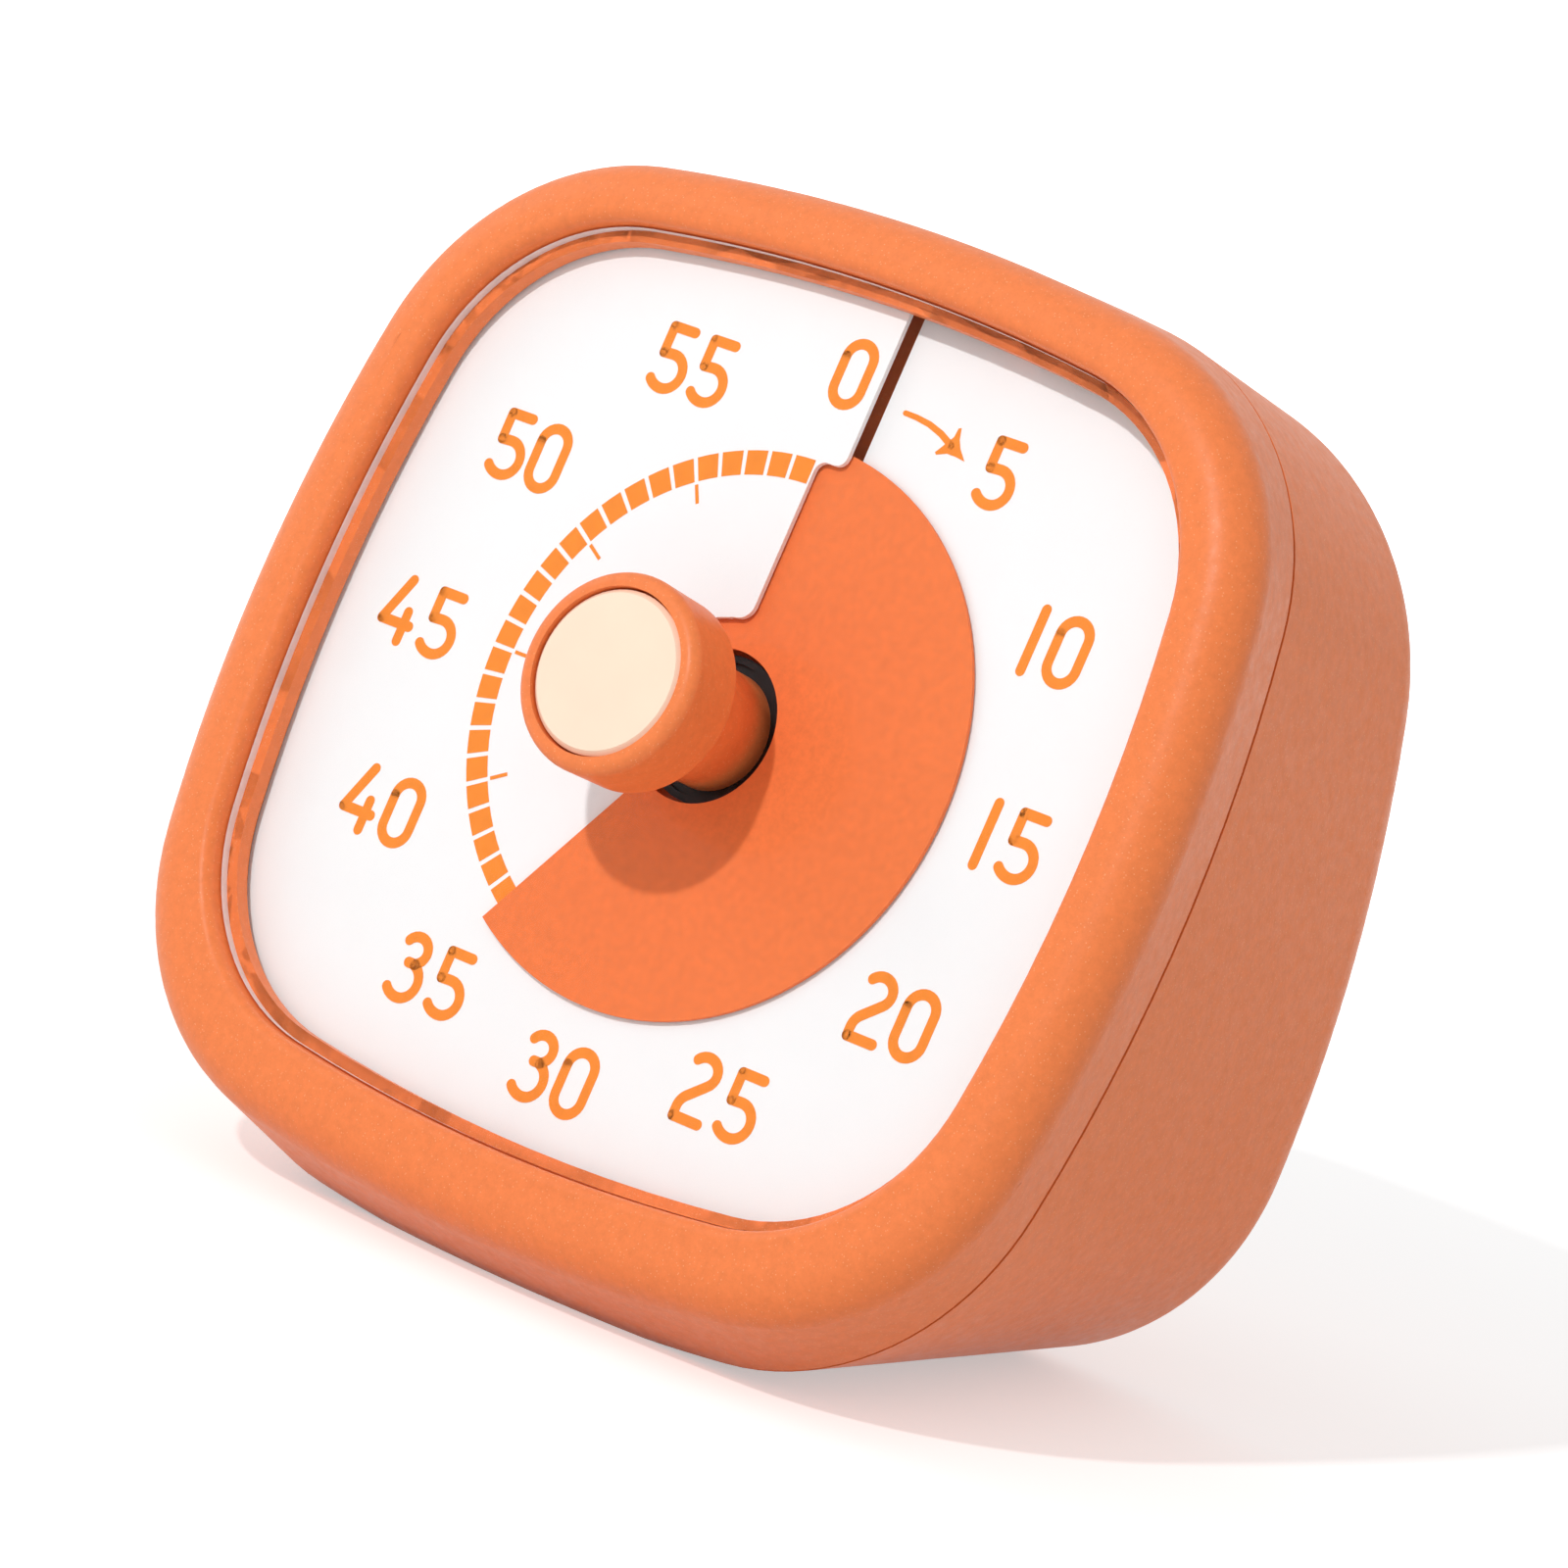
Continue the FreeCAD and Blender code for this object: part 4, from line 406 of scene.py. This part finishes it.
def stroke(mesh, points, width, over_slit=False, end_width=None):
    """A pen stroke with round ends along a line of points, mitred where the line bends."""
    end_width = end_width or width
    line = [Vector(points[0])]
    for point in points[1:]:
        if (Vector(point) - line[-1]).length > SAME_POINT:
            line.append(Vector(point))
    last = len(line) - 1
    quads = []
    for i, here in enumerate(line):
        before, after = line[max(i - 1, 0)], line[min(i + 1, last)]
        first = (here - before).normalized() if i else (after - here).normalized()
        second = (after - here).normalized() if i < last else first
        along = (first + second).normalized()
        aside = Vector((-along.y, along.x))
        half = (width + (end_width - width) * i / last) / 2
        half /= max(SHARPEST_MITRE, along.dot(second))
        quads.append((here + aside * half, here - aside * half))
    first_along = (line[1] - line[0]).normalized()
    last_along = (line[-1] - line[-2]).normalized()
    left, right = zip(*quads)
    slab(mesh, left, right, over_slit)
    for centre, along, radius in ((line[0], -first_along, width / 2),
                                  (line[-1], last_along, end_width / 2)):
        side = Vector((-along.y, along.x)) * radius
        prism(mesh, [centre - side] + cap(centre, along, radius) + [centre + side], over_slit)


def cap(centre, along, radius, steps=8):
    """Inner points of a half circle that closes a stroke in a direction."""
    facing = math.atan2(along.y, along.x)
    return [centre + Vector((math.cos(facing + t), math.sin(facing + t))) * radius
            for t in (math.pi * (i / steps - 0.5) for i in range(1, steps))]


def slab(mesh, left, right, over_slit):
    """A band of ink between two lines of points."""
    rows = []
    for a, b in zip(left, right):
        rows.append([on_dial(mesh, p.x, p.y, lift, over_slit)
                     for p in (a, b) for lift in (INK_LOW, INK_HIGH)])
    for (a0, a1, b0, b1), (c0, c1, d0, d1) in zip(rows, rows[1:]):
        mesh.faces.new((a1, b1, d1, c1))
        mesh.faces.new((a0, c0, d0, b0))
        mesh.faces.new((a0, a1, c1, c0))
        mesh.faces.new((b0, d0, d1, b1))
    mesh.faces.new((rows[0][0], rows[0][2], rows[0][3], rows[0][1]))
    mesh.faces.new((rows[-1][0], rows[-1][1], rows[-1][3], rows[-1][2]))


def finish_print(name, mesh):
    """Make a print's mesh an object that rides on the housing."""
    bmesh.ops.recalc_face_normals(mesh, faces=mesh.faces)
    data = bpy.data.meshes.new(name)
    mesh.to_mesh(data)
    mesh.free()
    data.materials.append(INK_MATERIAL)
    thing = bpy.data.objects.new(name, data)
    bpy.context.scene.collection.objects.link(thing)
    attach(thing, "housing")


# Digits as pen strokes, in millimetres from the lower left of each digit

STROKE = 0.76
DIGIT_HEIGHT = 5.18
MINUTES = 60
MINUTE_ANGLE = 360 / MINUTES


def zero():
    return [arc(1.55, 3.63, 1.17, 1.17, 180, 0) + arc(1.55, 1.55, 1.17, 1.17, 0, -180)
            + [(0.38, 3.63)]]


def one():
    return [[(0.4, 4.8), (0.4, 0.38)]]


def two():
    return [arc(1.37, 3.8, 1.12, 1.04, 140, -50) + arc(1.57, 1.0, 1.2, 1.2, 130, 180)
            + [(0.37, 0.38)], [(0.37, 0.38), (2.55, 0.38)]]


def three():
    return [arc(1.66, 3.87, 1.03, 0.97, 148, -62) + [(2.05, 2.94)], [(1.45, 2.94), (2.1, 2.94)],
            arc(1.66, 1.66, 1.26, 1.28, 72, -90) + arc(1.66, 1.66, 1.45, 1.28, -90, -142)]


def four():
    return [[(1.76, 4.8), (0.38, 1.6)], [(0.38, 1.6), (2.95, 1.6)], [(2.42, 2.55), (2.42, 0.38)]]


def five():
    return [[(2.66, 4.8), (0.77, 4.8)], [(0.77, 4.8), (0.77, 2.86)],
            [(0.77, 2.86), (1.6, 2.9)] + arc(1.72, 1.64, 1.26, 1.26, 90, -90)
            + arc(1.72, 1.64, 1.5, 1.26, -90, -142)]


# Each digit's strokes and its width
DIGITS = {"0": (zero, 3.1), "1": (one, 0.8), "2": (two, 2.96), "3": (three, 3.25),
          "4": (four, 3.3), "5": (five, 3.15)}
GAP, GAP_AFTER_ONE = 0.56, 1.0
LABEL_RADIUS = 26.48
# Where the photograph's labels stand off the even circle, right and up
USUAL_SHIFT = (-0.1, -0.05)
LABEL_SHIFTS = {0: (-0.17, -0.56), 5: (0.23, -0.08), 10: (0.68, -0.12), 20: (0.54, -0.37),
                30: (-0.19, 0.62), 50: (-0.58, 0.17)}


def number(minute):
    """One label, set level with its middle on the label circle."""
    text = str(minute)
    gap = GAP_AFTER_ONE if text[0] == "1" else GAP
    width = sum(DIGITS[c][1] for c in text) + gap * (len(text) - 1)
    angle = math.radians(minute * MINUTE_ANGLE)
    shift = LABEL_SHIFTS.get(minute, USUAL_SHIFT)
    x = LABEL_RADIUS * math.sin(angle) + shift[0] - width / 2
    y = LABEL_RADIUS * math.cos(angle) + shift[1] - DIGIT_HEIGHT / 2
    mesh = bmesh.new()
    for letter in text:
        draw, advance = DIGITS[letter]
        for line in draw():
            stroke(mesh, [((px + x) * MM, (py + y) * MM) for px, py in line], STROKE * MM,
                   over_slit=minute == 0)
        x += advance + gap
    finish_print("number_%02d" % minute, mesh)


for minute in range(0, MINUTES, 5):
    number(minute)

# The minute blocks, with angles in degrees, and the ticks within them
RING_INNER, RING_OUTER = 17.78 * MM, 19.52 * MM
BLOCK_HALF = 2.47
RIGHT_OF_SLIT = 2.2
TICK_INNER, TICK_OUTER, TICK_HALF = 16.15 * MM, 17.55 * MM, 0.13 * MM


def minute_ring():
    """A block for each minute, the first one cut short by the slit."""
    mesh = bmesh.new()
    for minute in range(MINUTES):
        centre = (minute + 0.5) * MINUTE_ANGLE
        start = max(centre - BLOCK_HALF, RIGHT_OF_SLIT)
        end = centre + BLOCK_HALF
        corners = []
        for radius, angles in ((RING_OUTER, (start, (start + end) / 2, end)),
                               (RING_INNER, (end, (start + end) / 2, start))):
            for angle in angles:
                turn = math.radians(angle)
                corners.append((radius * math.sin(turn), radius * math.cos(turn)))
        prism(mesh, corners)
    finish_print("minute_ring", mesh)


def five_minute_ticks():
    mesh = bmesh.new()
    for minute in range(5, MINUTES, 5):
        turn = math.radians(minute * MINUTE_ANGLE)
        along = Vector((math.sin(turn), math.cos(turn)))
        aside = Vector((along.y, -along.x)) * TICK_HALF
        prism(mesh, [along * TICK_INNER - aside, along * TICK_INNER + aside,
                     along * TICK_OUTER + aside, along * TICK_OUTER - aside])
    finish_print("five_minute_ticks", mesh)


def direction_arrow():
    """The small curved arrow from the slit towards the 5."""
    mesh = bmesh.new()
    tail = [(4.35, 24.72), (5.4, 24.68), (6.6, 24.52), (7.8, 24.17), (9.0, 23.6)]
    tail_width, neck_width = 0.38 * MM, 0.5 * MM
    stroke(mesh, [(x * MM, y * MM) for x, y in tail], tail_width, end_width=neck_width)
    head = [(10.5, 22.9), (9.78, 23.62), (9.42, 24.2), (9.18, 24.98), (8.98, 24.9),
            (8.92, 24.25), (8.55, 23.72), (8.2, 23.2), (7.95, 22.85), (8.1, 22.72),
            (8.9, 23.02), (9.7, 23.0)]
    prism(mesh, [(x * MM, y * MM) for x, y in head])
    finish_print("direction_arrow", mesh)


minute_ring()
five_minute_ticks()
direction_arrow()


# Floor, light and camera. The floor lights the object as pale grey and is lifted to white where
# it is seen, by a step that leaves the shadow near the object and grows to full white beyond it.

FLOOR_HALF = 30.0
FLOOR_GREY = 0.82
NEAR_LIFT, FAR_LIFT = 0.45, 1.0
NEAR_REACH, FAR_REACH = 0.08, 0.5
FILL = 0.57


def pale_floor():
    data = bpy.data.meshes.new("floor")
    corners = [(-FLOOR_HALF, -FLOOR_HALF, 0), (FLOOR_HALF, -FLOOR_HALF, 0),
               (FLOOR_HALF, FLOOR_HALF, 0), (-FLOOR_HALF, FLOOR_HALF, 0)]
    data.from_pydata(corners, [], [(0, 1, 2, 3)])
    floor = bpy.data.objects.new("floor", data)
    bpy.context.scene.collection.objects.link(floor)
    material, tree, shader = new_material("floor_white")
    shader.inputs["Base Color"].default_value = (FLOOR_GREY, FLOOR_GREY, FLOOR_GREY, 1)
    shader.inputs["Roughness"].default_value = 0.9
    shader.inputs["Specular IOR Level"].default_value = 0.0
    grow = tree.nodes.new("ShaderNodeMapRange")
    grow.interpolation_type = "SMOOTHSTEP"
    grow.inputs["From Min"].default_value = NEAR_REACH
    grow.inputs["From Max"].default_value = FAR_REACH
    grow.inputs["To Min"].default_value = NEAR_LIFT
    grow.inputs["To Max"].default_value = FAR_LIFT
    tree.links.new(measure(tree, "LENGTH", place(tree)), grow.inputs["Value"])
    glow = tree.nodes.new("ShaderNodeEmission")
    tree.links.new(calculate(tree, "MULTIPLY", seen_directly(tree), grow.outputs["Result"]),
                   glow.inputs["Strength"])
    both = tree.nodes.new("ShaderNodeAddShader")
    connect(tree, both, (shader.outputs["BSDF"], glow.outputs["Emission"]))
    surface(tree, both.outputs["Shader"])
    data.materials.append(material)


def studio_world():
    """Grey light on the object, and plain white where the camera, a gloss or glass sees it."""
    world = bpy.data.worlds.new("studio")
    world.use_nodes = True
    bpy.context.scene.world = world
    tree = world.node_tree
    fill = tree.nodes["Background"]
    fill.inputs["Color"].default_value = (1, 1, 1, 1)
    fill.inputs["Strength"].default_value = FILL
    white = tree.nodes.new("ShaderNodeBackground")
    white.inputs["Color"].default_value = (1, 1, 1, 1)
    sky = blend_shaders(tree, seen_directly(tree), fill.outputs["Background"],
                        white.outputs["Background"])
    tree.links.new(sky, tree.nodes["World Output"].inputs["Surface"])


def lamp(name, direction, distance, size, power):
    """A square soft box that faces the dial centre from a direction of the face frame."""
    light = bpy.data.lights.new(name, "AREA")
    light.shape = "SQUARE"
    light.size = size
    light.energy = power
    thing = bpy.data.objects.new(name, light)
    bpy.context.scene.collection.objects.link(thing)
    away = (FACE.to_3x3() @ Vector(direction)).normalized()
    thing.location = FACE.translation + away * distance
    thing.rotation_euler = away.to_track_quat("Z", "Y").to_euler()


studio_world()
pale_floor()
lamp("key", (0.01, 0.37, 0.88), distance=0.9, size=0.03, power=3.3)
lamp("side", (-0.9, 0.35, 0.5), distance=1.1, size=0.45, power=1.1)


def photo_camera():
    """The photograph's view: its place from the dial and its axes, fitted to the outline."""
    view = bpy.data.cameras.new("photo_view")
    view.lens = 173.48
    view.sensor_width = 36.0
    view.clip_start = 0.05
    camera = bpy.data.objects.new("photo_view", view)
    bpy.context.scene.collection.objects.link(camera)
    right = Vector((0.75675, 0.60385, 0.25037))
    up = Vector((-0.29252, -0.02970, 0.95580))
    back = Vector((0.58460, -0.79654, 0.15416))
    turn = Matrix((right, up, back)).transposed().to_4x4()
    from_dial = Vector((0.30495, -0.40538, 0.07662))
    camera.matrix_world = Matrix.Translation(FACE.translation + from_dial) @ turn
    bpy.context.scene.camera = camera


photo_camera()
bpy.context.scene.view_settings.view_transform = "Standard"
